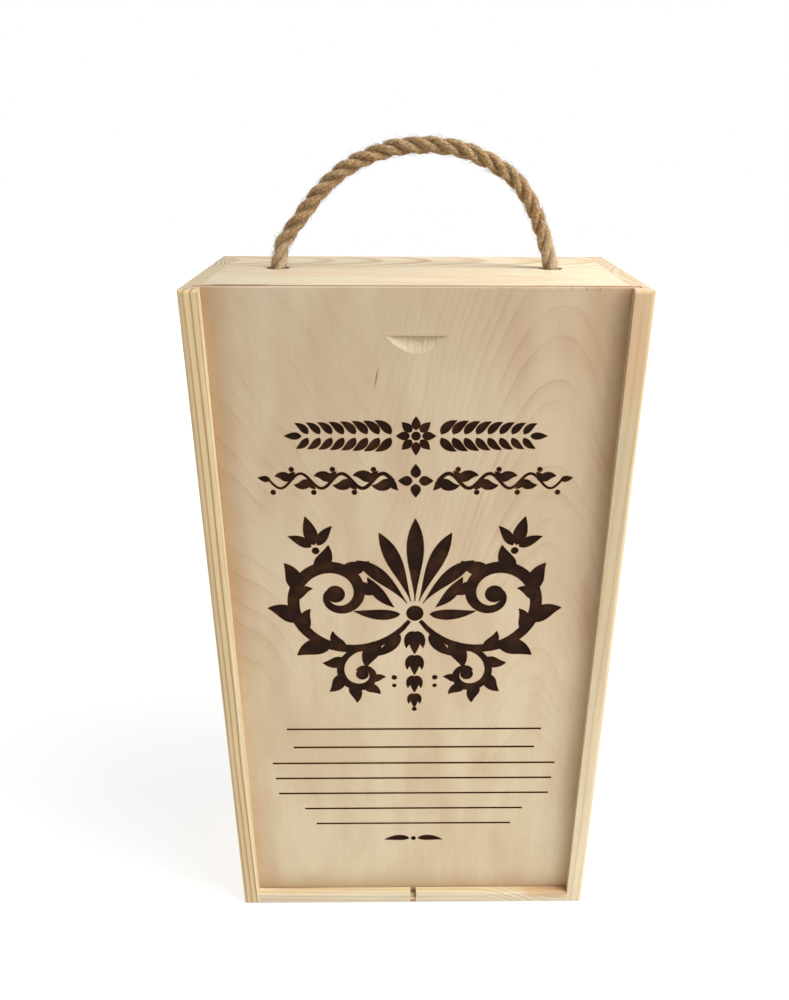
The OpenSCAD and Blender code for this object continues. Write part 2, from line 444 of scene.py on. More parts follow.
class Finish:
    """A material that is being put together around one Principled BSDF."""

    FACING: Span = (0.55, 0.85)  # a face's lean, as a cosine, where it starts and ends to count

    def __init__(self, name: str) -> None:
        """Starts an empty material."""
        self.material = bpy.data.materials.new(name)
        self.material.use_nodes = True
        tree = self.material.node_tree
        tree.nodes.clear()
        self.g = Graph(tree)
        self.shader = self.g.add("ShaderNodeBsdfPrincipled")
        out = self.g.add("ShaderNodeOutputMaterial")
        self.g.feed(out.inputs["Surface"], self.shader.outputs[0])
        self.coordinates = self.g.add("ShaderNodeTexCoord")

    def place(self, turn_deg: Sequence[float] = (0.0, 0.0, 0.0),
              shift_mm: Sequence[float] = (0.0, 0.0, 0.0)) -> Socket:
        """The piece's own coordinates in millimetres, turned and moved.

        Args:
            turn_deg: turn about X, Y and Z.
            shift_mm: move after the turn.

        Returns:
            The placed vector.
        """
        node = self.g.add("ShaderNodeMapping", vector_type="POINT")
        self.g.feed(node.inputs["Vector"], self.coordinates.outputs["Object"])
        node.inputs["Scale"].default_value = [1.0 / MM] * 3
        node.inputs["Rotation"].default_value = [math.radians(a) for a in turn_deg]
        node.inputs["Location"].default_value = shift_mm
        return node.outputs[0]

    def facing(self, axis: Sequence[float]) -> Socket:
        """How far a face looks along an axis, from 0 to 1."""
        dot = self.g.vector("DOT_PRODUCT", self.coordinates.outputs["Normal"], tuple(axis))
        return self.g.step(self.g.math("ABSOLUTE", dot), *self.FACING)

    def close(self, colour: Socket, roughness: object, height: Socket,
              relief_mm: float, sheen: float = 0.0, gloss: float = 0.3) -> Material:
        """Feeds the shader and ends the material.

        Args:
            colour: the base colour.
            roughness: a value or a socket.
            height: relief from 0 to 1.
            relief_mm: height of that relief.
            sheen: soft reflection of fibres.
            gloss: strength of the reflection.

        Returns:
            The finished material.
        """
        bump = self.g.add("ShaderNodeBump")
        bump.inputs["Strength"].default_value = 1.0
        bump.inputs["Distance"].default_value = relief_mm * MM
        self.g.feed(bump.inputs["Height"], height)
        self.g.feed(self.shader.inputs["Base Color"], colour)
        self.g.feed(self.shader.inputs["Roughness"], roughness)
        self.g.feed(self.shader.inputs["Normal"], bump.outputs[0])
        self.shader.inputs["Specular IOR Level"].default_value = gloss
        self.shader.inputs["Sheen Weight"].default_value = sheen
        return self.material


class Grain(Enum):
    """The way a board's grain runs, as the turn that lays it along Z."""

    UPRIGHT = (0.0, 0.0, 0.0)
    ACROSS = (0.0, -90.0, 0.0)


@dataclass(frozen=True)
class PineBoard:
    """Finish of one sanded pine board, by how it was cut from its log.

    The pith is where the middle of the log lies from the board, in millimetres
    after the grain is laid along Z, and the lean tilts the log in the board.
    """

    name: str
    grain: Grain
    pith_mm: Span
    lean_deg: Span = (0.0, 0.0)
    ring_mm: float = 2.0
    wobble_mm: float = 6.0
    contrast: float = 0.6
    early: str = "DFC9A4"
    late: str = "AE8350"
    late_warm: str = "BE945C"
    late_warmth: float = 0.0
    rosy: str = "DAB38A"
    rosy_share: float = 0.35
    end_tone: str = "CFA878"
    end_share: float = 0.15
    end_contrast: float = 0.6
    # painted light: the front faces' own tone, paler than the rest of the board, which evens out the lit top
    # and the darker front
    front_light_tone: str = "F3E8D2"
    front_light_share: float = 0.0
    front_light_fall_mm: Span = (1000.0, 900.0)
    front_rosy: float = 0.0
    sap_mm: Span = (900.0, 1000.0)
    sap_share: float = 0.0
    sap_tone: str = "FFECC6"
    sap_fade_mm: Span = (230.0, 170.0)
    sap_range: Span = (0.6, 0.4)
    # painted light: a slope of tone along the grain, on the top board lighter towards the right, the side the
    # light comes from
    painted_light_slope: float = 0.0
    painted_light_over_mm: float = 100.0
    calm_mm: Span = (-999.0, -990.0)
    calm_range: Span = (0.7, 0.3)
    sweep_mm: Triple = (0.0, 1.0, 0.0)
    stain_mm: Triple = (0.0, 0.0, 0.01)
    stain_squash: float = 0.38
    stain_fray: float = 0.3
    stain_core: float = 0.6
    stain_scale: float = 0.25
    stain: Wash = (0.6, "CB9A66")
    # the slot's half width; front faces within it are painted brown as painted shade
    slot_mm: float = -1.0
    slot_soft_mm: float = 0.1
    slot_shade: Wash = (0.8, "A07A4E")
    torn_mm: Triple = (900.0, 1000.0, -900.0)
    torn_taper_mm: Span = (6.0, -10.0)
    torn_deep_mm: Span = (2.0, 0.8)
    torn_fray_mm: float = 2.4
    torn_at: Triple = (0.35, 2.6, 5.2)
    torn: Wash = (0.8, "7B4B2E")
    pore_share: float = 0.3
    pores: Wash = (0.14, "9C6B3C")
    ring_range: Span = (0.05, 0.97)
    streak_range: Span = (0.22, 0.86)
    band_range: Span = (0.06, 0.97)
    rough_range: Span = (0.2, 0.5)
    streak_relief: float = 0.7
    ring_relief: float = 0.35
    relief_mm: float = 0.12

    def _log_place(self, finish: Finish) -> Socket:
        """The point in the log, with its grain along Z and its pith on the axis.

        The sweep bends the grain aside between two places along the board, as it
        bends round a knot.
        """
        g = finish.g
        turn = [a + b for a, b in zip(self.grain.value, (*self.lean_deg, 0.0))]
        straight = finish.place(turn, (-self.pith_mm[0], -self.pith_mm[1], 0.0))
        start, end, push = self.sweep_mm
        bend = g.times(g.step(g.split(straight)[2], start, end), -push)
        return g.vector("ADD", straight, g.joined(bend, 0.0, 0.0))

    def _torn(self, g: Graph, x: Socket, y: Socket) -> Socket:
        """A torn stretch of a front edge, between two places along the board.

        Args:
            g: the material's graph.
            x: the point across the box.
            y: its depth.

        Returns:
            1 where the edge is torn, 0 elsewhere.
        """
        start, end, edge = self.torn_mm
        scale, *row = self.torn_at
        wander = g.noise(g.joined(g.times(x, scale), *row), detail=1.0)
        ragged = g.ramp(g.math("SUBTRACT", wander, 0.5), self.torn_fray_mm, y)
        in_taper, out_taper = self.torn_taper_mm
        stretch = g.band(x, (start, start + in_taper), (end, end + out_taper))
        far, near = self.torn_deep_mm
        return g.times(g.step(ragged, edge + far, edge + near), stretch)

    def _stained(self, g: Graph, plain: Socket) -> Socket:
        """A round stain at a place across and up the board."""
        across, up, radius = self.stain_mm
        away = g.vector("SUBTRACT", plain, (across, 0.0, up))
        spread = g.vector("LENGTH", g.scaled(away, self.stain_squash, 0.0, 1.0))
        spread = g.ramp(g.noise(plain, self.stain_scale), self.stain_fray * radius, spread)
        return g.step(spread, radius, self.stain_core * radius)

    def material(self, effects: Effects) -> Material:
        """Builds the board's material.

        Args:
            effects: the shared node groups.

        Returns:
            The material.
        """
        finish = Finish(self.name)
        g = finish.g
        log_place, plain = self._log_place(finish), finish.place()
        end = finish.facing((0, 0, 1) if self.grain is Grain.UPRIGHT else (1, 0, 0))
        front = finish.facing((0, 1, 0))
        ring_sizes = {"Ring_Width": self.ring_mm, "Wobble": self.wobble_mm}
        rings = g.group(effects.rings, Vector=log_place, **ring_sizes).outputs
        fibres = g.group(effects.fibres, Vector=log_place, Pore_Share=self.pore_share).outputs
        bands = g.group(effects.bands, Vector=log_place).outputs
        x, y, z = g.split(plain)
        late = g.times(rings["Late Wood"], g.ramp(end, self.end_contrast * self.contrast, self.contrast))
        late = g.times(late, g.ramp(g.step(y, *self.calm_mm), *self.calm_range))
        late_tone = g.lay(tint(self.late), rings["Ring Tone"], (self.late_warmth, self.late_warm))
        colour = g.lay(tint(self.early), bands["Warm"], (self.rosy_share, self.rosy))
        # painted light: front faces take a paler tone than the board's other faces, evening out the lit top
        # and the darker front; on some boards it fades out higher up
        fall = g.times(g.step(z, *self.front_light_fall_mm, soft=False), self.front_light_share)
        colour = g.mix(g.times(front, fall), colour, tint(self.front_light_tone))
        colour = g.lay(colour, g.times(front, bands["Warm"]), (self.front_rosy, self.rosy))
        sap = g.times(g.step(x, *self.sap_mm), g.ramp(g.step(z, *self.sap_fade_mm), *self.sap_range))
        colour = g.mix(g.times(front, g.times(sap, self.sap_share)), colour, tint(self.sap_tone))
        colour = g.lay(colour, self._stained(g, plain), self.stain)
        colour = g.lay(colour, end, (self.end_share, self.end_tone))
        colour = g.mix(late, colour, late_tone)
        # painted shade: front faces within the slot's width are painted brown, so the shallow slot reads as
        # one that runs through the front edge in shade
        slot_shade = g.step(g.math("ABSOLUTE", x), self.slot_mm + self.slot_soft_mm, self.slot_mm)
        colour = g.lay(colour, g.times(slot_shade, front), self.slot_shade)
        colour = g.lay(colour, self._torn(g, x, y), self.torn)
        tone = g.ramp(rings["Ring Tone"], *self.ring_range)
        streak = g.ramp(fibres["Streak"], *self.streak_range)
        # painted light: the tone slopes along the grain; the top board grows lighter towards the right, the
        # side the light comes from
        painted_light = g.ramp(g.split(log_place)[2], self.painted_light_slope / self.painted_light_over_mm, 1.0)
        band = g.ramp(bands["Shade"], *self.band_range)
        colour = g.shaded(colour, g.times(g.times(tone, streak), g.times(painted_light, band)))
        colour = g.lay(colour, fibres["Pores"], self.pores)
        height = g.math("ADD", g.times(fibres["Streak"], self.streak_relief),
                        g.times(rings["Late Wood"], self.ring_relief))
        return finish.close(colour, g.ramp(fibres["Streak"], *self.rough_range), height, self.relief_mm)


@dataclass(frozen=True)
class SheetPoint:
    """A point on a sheet in millimetres, as a material reads it."""

    plain: Socket
    place: Socket
    across: Socket
    through: Socket
    z: Socket


@dataclass(frozen=True)
class BirchPlywood:
    """Finish of a sheet of birch plywood whose face grain runs upright.

    The figure folds down to a point at fold_mm and arches up half a wave away.
    """

    name: str
    normal: Triple
    sheet_low_mm: float
    sheet_mm: float
    fold_mm: float = -20.0
    fold_half_mm: float = 4.0
    wave_mm: float = 164.0
    rise_mm: float = 235.0
    rise_range: Span = (0.58, 0.42)
    arch_power: float = 1.35
    arch_span: Span = (0.55, 0.9)
    arch_range: Span = (0.75, 0.75)
    line_mm: float = 14.0
    line_range: Span = (0.7, 0.55)
    thin_spans: tuple[Span, Span] = ((0.86, 0.97), (1.0, 0.97))
    thin_share: float = 0.12
    soft_spans: tuple[Span, Span] = ((0.3, 0.95), (1.0, 0.96))
    soft_share: float = 0.10
    wander_scale: Triple = (0.022, 0.022, 0.010)
    wander_turn: float = 0.35
    wander_mm: float = 26.0
    uneven_at: Triple = (0.028, 4.1, 2.2)
    uneven_turns: float = 2.4
    seen_scale: Triple = (0.035, 0.035, 0.02)
    seen_span: Span = (0.3, 0.62)
    seen_range: Span = (0.8, 0.2)
    shift_mm: Triple = (0.0, 0.0, 0.0)
    figure_mm: Span = (60.0, 260.0)
    foot_mm: float = 9.0
    head_mm: float = 350.0
    fleck_mm: Span = (-17.6, 311.8)
    fleck_lean: float = -0.18
    fleck_squash: Span = (2.0, 0.15)
    fleck_span: Span = (1.0, 0.1)
    fleck: Wash = (0.85, "80502F")
    pale: str = "D9C4A5"
    pale_low_mm: Span = (260.0, 60.0)
    pale_low: Wash = (0.7, "DCCCA9")
    deep: Wash = (0.6, "CDB392")
    line: str = "9A7448"
    # painted reflection: a rosy tone laid in patches along both side edges, where light bounces off the lips
    rosy: str = "BE8F68"
    lip_bounce_mm: Span = (62.0, 94.0)
    lip_bounce_scale: Triple = (0.05, 0.05, 0.03)
    lip_bounce_span: Span = (0.4, 0.62)
    lip_bounce_high_mm: Span = (60.0, 160.0)
    lip_bounce_range: Span = (0.22, 0.08)
    cloud_scale: Triple = (0.04, 0.04, 0.017)
    cloud_shift: Triple = (7.0, 0.0, 3.0)
    cloud_span: Span = (0.46, 0.78)
    cloud: Wash = (0.26, "B98F68")
    drift_mm: Span = (340.0, 170.0)
    drift_range: Span = (0.155, 0.925)
    streak_range: Span = (0.18, 0.89)
    pore_share: float = 0.29
    pores: Wash = (0.14, "8F6B45")
    # painted shade: a warm brown along the right side next to the lip, and a darker patch towards the upper
    # right
    right_shade_tone: str = "B98855"
    right_lip_shade_mm: tuple[tuple[Span, float], ...] = (((66.0, 92.0), 0.15), ((83.0, 91.0), 0.25))
    upper_right_dark_mm: tuple[Span, Span] = ((25.0, 75.0), (230.0, 340.0))
    upper_right_dark_share: float = 0.16
    # painted shade and painted warm reflection along the left lip
    left_lip_shade_tone: str = "A07C4C"
    left_lip_shade_mm: tuple[tuple[Span, float], ...] = (((-58.0, -90.0), 0.12), ((-76.0, -91.0), 0.42))
    left_lip_shade_high_mm: Span = (110.0, 300.0)
    left_lip_shade_range: Span = (0.75, 0.25)
    # painted shade at the foot of the sheet, where the bottom board meets it
    foot_shade_tone: str = "A67C4C"
    foot_shade_mm: tuple[tuple[Span, float], ...] = (((20.0, 2.0), 0.4), ((6.0, 1.0), 0.3))
    core: Wash = (0.3, "A8825A")
    glue: Wash = (0.65, "7A5636")
    # painted shade on the rear part of the lid's edges
    rear_edge_shade_span: Span = (0.6, 0.75)
    rear_edge_shade: Wash = (0.75, "6A4028")
    chip_at: Triple = (0.9, 0.7, 9.1)
    chip_span: Span = (0.62, 0.70)
    chip_mm: Span = (36.0, 52.0)
    chip_deep_mm: Span = (2.0, 0.6)
    chip: Wash = (0.45, "8A5636")
    fresh_scale: Triple = (1.6, 1.6, 0.22)
    fresh_span: Span = (0.36, 0.64)
    fresh_tones: tuple[str, str] = ("CAB896", "D7C7A8")
    rough_range: Span = (0.15, 0.55)
    relief_mm: float = 0.08
    fresh_relief_mm: float = 0.12

    def _figure(self, g: Graph, at: SheetPoint) -> Socket:
        """How strongly a growth line shows.

        Args:
            g: the material's graph.
            at: the point on the sheet.

        Returns:
            The strength, from 0 to about 0.4.
        """
        wander = g.math("SUBTRACT", g.noise(g.scaled(at.place, *self.wander_scale), detail=2.5), 0.5)
        swing = g.times(g.math("SUBTRACT", at.across, self.fold_mm), math.pi / self.wave_mm)
        swing = g.ramp(wander, self.wander_turn, swing)
        arch = g.math("POWER", g.math("ABSOLUTE", g.math("SINE", swing)), self.arch_power)
        side = g.step(at.across, self.fold_mm - self.fold_half_mm, self.fold_mm + self.fold_half_mm)
        level = g.ramp(g.times(arch, g.ramp(side, *self.rise_range)), -self.rise_mm, at.z)
        level = g.ramp(wander, self.wander_mm, level)
        scale, *row = self.uneven_at
        uneven = g.noise(g.joined(g.times(level, scale), *row), detail=1.0)
        turns = g.ramp(uneven, self.uneven_turns, g.math("DIVIDE", level, self.line_mm))
        ring = g.math("FLOOR", turns)
        part = g.math("SUBTRACT", turns, ring)
        chance = g.add("ShaderNodeTexWhiteNoise", noise_dimensions="1D")
        g.feed(chance.inputs["W"], ring)
        thin, soft = g.band(part, *self.thin_spans), g.band(part, *self.soft_spans)
        seen = g.step(g.noise(g.scaled(at.place, *self.seen_scale)), *self.seen_span)
        seen = g.times(seen, g.ramp(g.step(at.z, *self.figure_mm), *self.seen_range))
        both = g.ramp(thin, self.thin_share, g.times(soft, self.soft_share))
        both = g.times(both, g.ramp(g.step(arch, *self.arch_span), *self.arch_range))
        return g.times(g.times(both, seen), g.ramp(chance.outputs[0], *self.line_range))

    def _grown(self, g: Graph, at: SheetPoint, warmth: Socket, streak: Socket, pores: Socket) -> Socket:
        """The colour of the wood as it grew.

        Args:
            g: the material's graph.
            at: the point on the sheet.
            warmth: of the slow bands.
            streak: of the fibres.
            pores: where they show.

        Returns:
            The colour.
        """
        colour = g.lay(tint(self.pale), g.step(at.z, *self.pale_low_mm), self.pale_low)
        colour = g.lay(colour, warmth, self.deep)
        # painted reflection: rosy patches along both side edges, where light bounces off the lips, stronger
        # higher up
        patch = g.step(g.noise(g.scaled(at.place, *self.lip_bounce_scale)), *self.lip_bounce_span)
        lip_bounce = g.times(g.step(g.math("ABSOLUTE", at.across), *self.lip_bounce_mm), patch)
        lip_bounce = g.times(lip_bounce, g.ramp(g.step(at.z, *self.lip_bounce_high_mm), *self.lip_bounce_range))
        colour = g.mix(lip_bounce, colour, tint(self.rosy))
        cloud = g.vector("ADD", g.scaled(at.place, *self.cloud_scale), self.cloud_shift)
        colour = g.lay(colour, g.step(g.noise(cloud, detail=2.5), *self.cloud_span), self.cloud)
        colour = g.mix(self._figure(g, at), colour, tint(self.line))
        drift = g.ramp(g.step(at.z, *self.drift_mm, soft=False), *self.drift_range)
        colour = g.shaded(colour, g.times(drift, g.ramp(streak, *self.streak_range)))
        return g.lay(colour, pores, self.pores)

    @staticmethod
    def _stepped(g: Graph, value: Socket, steps: Sequence[tuple[Span, float]]) -> Socket:
        """Adds up several rises.

        Args:
            g: the material's graph.
            value: what is read.
            steps: the span and the strength of each.

        Returns:
            Their sum.
        """
        total = None
        for span, share in steps:
            rise = g.step(value, *span)
            total = g.times(rise, share) if total is None else g.ramp(rise, share, total)
        return total

    def _handled(self, g: Graph, at: SheetPoint, colour: Socket) -> Socket:
        """Paints shade along the right lip with a darker patch towards the upper right, shade and a warm
        reflection along the left lip, and shade at the foot of the sheet.

        Args:
            g: the material's graph.
            at: the point on the sheet.
            colour: the wood's own colour.

        Returns:
            The new colour.
        """
        # painted shade: warm brown along the right side, deepest next to the right lip, and a darker patch
        # towards the upper right
        right_lip_shade = self._stepped(g, at.across, self.right_lip_shade_mm)
        side, height = self.upper_right_dark_mm
        corner = g.times(g.step(at.across, *side), g.step(at.z, *height))
        colour = g.mix(g.ramp(corner, self.upper_right_dark_share, right_lip_shade), colour, tint(self.right_shade_tone))
        # painted shade and painted warm reflection: a brown band along the left lip, deepest next to it and
        # stronger higher up
        left_lip_shade = self._stepped(g, at.across, self.left_lip_shade_mm)
        left_lip_shade = g.times(left_lip_shade, g.ramp(g.step(at.z, *self.left_lip_shade_high_mm), *self.left_lip_shade_range))
        colour = g.mix(left_lip_shade, colour, tint(self.left_lip_shade_tone))
        # painted shade: a warm brown that darkens towards the foot of the sheet, just above the bottom board
        steps = [((self.foot_mm + a, self.foot_mm + b), share) for (a, b), share in self.foot_shade_mm]
        return g.mix(self._stepped(g, at.z, steps), colour, tint(self.foot_shade_tone))

    def _worn(self, g: Graph, at: SheetPoint, colour: Socket) -> Socket:
        """Adds the chips in the upper edge and a split in the veneer.

        Args:
            g: the material's graph.
            at: the point on the sheet.
            colour: the colour so far.

        Returns:
            The new colour.
        """
        scale, *row = self.chip_at
        chip = g.step(g.noise(g.joined(g.times(at.across, scale), *row), detail=1.0), *self.chip_span)
        chip = g.times(chip, g.step(at.across, *self.chip_mm))
        low, high = (self.head_mm - deep for deep in self.chip_deep_mm)
        colour = g.lay(colour, g.times(chip, g.step(at.z, low, high)), self.chip)
        away = g.split(g.vector("SUBTRACT", at.plain, (self.fleck_mm[0], 0.0, self.fleck_mm[1])))
        lean = g.ramp(away[2], self.fleck_lean, away[0])
        wide, high = self.fleck_squash
        fleck = g.vector("LENGTH", g.joined(g.times(lean, wide), 0.0, g.times(away[2], high)))
        return g.lay(colour, g.step(fleck, *self.fleck_span), self.fleck)

    def material(self, effects: Effects, fresh: bool = False) -> Material:
        """Builds the sheet's material.

        Args:
            effects: the shared node groups.
            fresh: True for wood that a tool has just opened, paler and rougher.

        Returns:
            The material.
        """
        finish = Finish(self.name + ("_fresh" if fresh else ""))
        g = finish.g
        plain = finish.place()
        place = g.vector("ADD", plain, self.shift_mm)
        x, y, z = g.split(plain)
        across, through = (x, y) if abs(self.normal[1]) > 0.5 else (y, x)
        at = SheetPoint(plain, place, across, through, z)
        fibres = g.group(effects.fibres, Vector=place, Pore_Share=self.pore_share).outputs
        bands = g.group(effects.bands, Vector=place).outputs
        edge = g.math("SUBTRACT", 1.0, finish.facing(self.normal))
        depth = g.math("DIVIDE", g.math("SUBTRACT", at.through, self.sheet_low_mm), self.sheet_mm)
        plies = g.group(effects.plies, Through=depth, Edge=edge).outputs
        colour = self._grown(g, at, bands["Warm"], fibres["Streak"], fibres["Pores"])
        colour = self._handled(g, at, colour)
        colour = g.lay(colour, plies["Core"], self.core)
        colour = g.lay(colour, plies["Glue"], self.glue)
        # painted shade: the rear part of the edges is dark, standing in for the shadowed gap between the lid
        # and the board behind it
        colour = g.lay(colour, g.times(g.step(depth, *self.rear_edge_shade_span), edge), self.rear_edge_shade)
        colour = self._worn(g, at, colour)
        height, relief_mm = fibres["Streak"], self.relief_mm
        if fresh:
            height = g.noise(g.scaled(place, *self.fresh_scale), detail=3.0, roughness=0.7)
            relief_mm = self.fresh_relief_mm
            colour = g.mix(g.step(height, *self.fresh_span), *[tint(code) for code in self.fresh_tones])
        return finish.close(colour, g.ramp(fibres["Streak"], *self.rough_range), height, relief_mm)


@dataclass(frozen=True)
class Scorch:
    """Finish of the burnt engraving: the floor is nearly black, the rim is brown."""

    name: str = "scorched_floor"
    rim_name: str = "scorched_rim"
    cloud_scale: float = 0.12
    roughness: float = 0.9
    dark: str = "24150D"
    light: str = "432818"
    rim: str = "7E4E2C"
    rim_light: str = "94633C"
    floor_span: Span = (0.42, 0.75)
    rim_span: Span = (0.35, 0.65)
    raster_mm: float = 0.25
    raster: Wash = (0.12, "523626")
    pore_share: float = 0.34
    pores: Wash = (0.4, "1B110C")
    row_relief: float = 0.2
    relief_mm: float = 0.1
    gloss: float = 0.12

    def material(self, effects: Effects, rim: bool = False) -> Material:
        """Builds the burnt material.

        Args:
            effects: the shared node groups.
            rim: True for the browned margin round the engraving.

        Returns:
            The material.
        """
        finish = Finish(self.rim_name if rim else self.name)
        g = finish.g
        place = finish.place()
        row = g.math("SINE", g.times(g.split(place)[2], 2 * math.pi / self.raster_mm))
        fibres = g.group(effects.fibres, Vector=place, Pore_Share=self.pore_share).outputs
        cloud = g.noise(place, self.cloud_scale, detail=3.0)
        if rim:
            colour = g.mix(g.step(cloud, *self.rim_span), tint(self.rim), tint(self.rim_light))
        else:
            colour = g.mix(g.step(cloud, *self.floor_span), tint(self.dark), tint(self.light))
            colour = g.lay(colour, g.ramp(row, 0.5, 0.5), self.raster)
        colour = g.lay(colour, fibres["Pores"], self.pores)
        height = g.math("ADD", g.times(row, self.row_relief), fibres["Streak"])
        return finish.close(colour, self.roughness, height, self.relief_mm, gloss=self.gloss)


@dataclass(frozen=True)
class Jute:
    """Finish of the jute rope.

    It reads three values that the rope's mesh stores: lay is the place along and
    round a strand in millimetres, the second is painted shade, 1 deep between strands and yarns, and worn is
    1 at the ends.
    """

    STORED = ("lay", "crease_shade", "worn")

    name: str = "jute_rope"
    straw: str = "CCA978"
    middle: str = "9F7340"
    fine_scale: Triple = (0.9, 2.4, 2.4)
    fine_span: Span = (0.36, 0.64)
    patch_scale: Triple = (0.09, 0.25, 0.25)
    patch_span: Span = (0.45, 0.7)
    grey: Wash = (0.3, "AFA080")
    # painted shade deep between the strands and yarns
    crease_shade: Wash = (0.36, "6A4829")
    speck_scale: Triple = (0.8, 1.25, 1.25)
    dark_span: Span = (0.49, 0.36)
    dark_speck: Wash = (0.85, "644222")
    pale_span: Span = (0.52, 0.63)
    pale_speck: Wash = (0.7, "EAD5B0")
    worn: Wash = (0.4, "E6D3B0")
    roughness: float = 0.9
    relief_mm: float = 0.4
    sheen: float = 0.15
    gloss: float = 0.15

    def material(self) -> Material:
        """Builds the rope's material."""
        finish = Finish(self.name)
        g = finish.g
        lay, crease_shade, worn = (g.add("ShaderNodeAttribute", attribute_name=name) for name in self.STORED)
        along = lay.outputs["Vector"]
        fine = g.noise(g.scaled(along, *self.fine_scale), detail=3.0, roughness=0.7, distortion=1.0)
        speck = g.noise(g.scaled(along, *self.speck_scale), detail=3.0, roughness=0.75, distortion=1.6)
        patch = g.noise(g.scaled(along, *self.patch_scale))
        colour = g.mix(g.step(fine, *self.fine_span), tint(self.middle), tint(self.straw))
        colour = g.lay(colour, g.step(patch, *self.patch_span), self.grey)
        # painted shade: darker brown deep between the strands and yarns
        colour = g.lay(colour, crease_shade.outputs["Fac"], self.crease_shade)
        colour = g.lay(colour, g.step(speck, *self.dark_span), self.dark_speck)
        colour = g.lay(colour, g.step(speck, *self.pale_span), self.pale_speck)
        colour = g.lay(colour, worn.outputs["Fac"], self.worn)
        height = g.math("ADD", fine, speck)
        return finish.close(colour, self.roughness, height, self.relief_mm, self.sheen, self.gloss)


@dataclass(frozen=True)
class BradSteel:
    """Finish of the bright wire brads."""

    name: str = "brad_wire"
    bright: str = "A9A8A3"
    dull: str = "7E7B74"
    mottle_scale: float = 2.5
    dull_span: Span = (0.35, 0.7)
    rough_range: Span = (0.25, 0.25)
    relief_mm: float = 0.02

    def material(self) -> Material:
        """Builds the steel."""
        finish = Finish(self.name)
        g = finish.g
        mottle = g.noise(finish.place(), self.mottle_scale, detail=3.0)
        colour = g.mix(g.step(mottle, *self.dull_span), tint(self.bright), tint(self.dull))
        finish.shader.inputs["Metallic"].default_value = 1.0
        return finish.close(colour, g.ramp(mottle, *self.rough_range), mottle, self.relief_mm)


@dataclass
class Viewpoint:
    """The camera, as the outline of the box in the photograph gives it.

    The principal point is where the optical axis meets the frame, in pixels.
    """

    frame_px: Span = (789.0, 1000.0)
    focal_px: float = 890.93
    principal_px: Span = (411.81, 590.0)
    place_mm: Triple = (-7.16, -439.19, 408.82)
    pitch_deg: float = 27.34
    yaw_deg: float = 0.82
    roll_deg: float = 0.26
    sensor_mm: float = 36.0

    def build(self) -> Piece:
        """Makes the camera and hands it to the scene.

        Returns:
            The camera's object.
        """
        pitch, yaw, roll = (math.radians(a) for a in (self.pitch_deg, self.yaw_deg, self.roll_deg))
        ahead = Vector((math.sin(yaw) * math.cos(pitch), math.cos(yaw) * math.cos(pitch), -math.sin(pitch)))
        level = Vector((math.cos(yaw), -math.sin(yaw), 0.0))
        above = level.cross(ahead)
        right = level * math.cos(roll) + above * math.sin(roll)
        up = above * math.cos(roll) - level * math.sin(roll)
        data = bpy.data.cameras.new("camera")
        long_side = max(self.frame_px)
        data.sensor_width = self.sensor_mm
        data.lens = self.focal_px / long_side * self.sensor_mm
        data.shift_x = (self.frame_px[0] / 2 - self.principal_px[0]) / long_side
        data.shift_y = (self.principal_px[1] - self.frame_px[1] / 2) / long_side
        camera = bpy.data.objects.new("camera", data)
        turn = Matrix((right, up, -ahead)).transposed().to_4x4()
        camera.matrix_world = Matrix.Translation(Vector(self.place_mm) * MM) @ turn
        bpy.context.scene.collection.objects.link(camera)
        bpy.context.scene.camera = camera
        return camera


@dataclass(frozen=True)
class Lamp:
    """A square lamp; it stands 1.5 m off, 0 degrees in front of the box and 90 to its right."""

    name: str
    round_deg: float
    height_deg: float
    size: float
    power: float
    distance: float = 1.5

    def build(self, aim: Sequence[float]) -> None:
        """Makes the lamp.

        Args:
            aim: what it looks at.
        """
        data = bpy.data.lights.new(self.name, "AREA")
        data.size = self.size
        data.energy = self.power
        turn, height = math.radians(self.round_deg), math.radians(self.height_deg)
        level = Vector((math.sin(turn), -math.cos(turn), 0.0)) * math.cos(height)
        away = level + Vector((0.0, 0.0, math.sin(height)))
        lamp = bpy.data.objects.new(self.name, data)
        lamp.location = Vector(aim) + away * self.distance
        lamp.rotation_mode = "QUATERNION"
        lamp.rotation_quaternion = (-away).to_track_quat("-Z", "Y")
        bpy.context.scene.collection.objects.link(lamp)


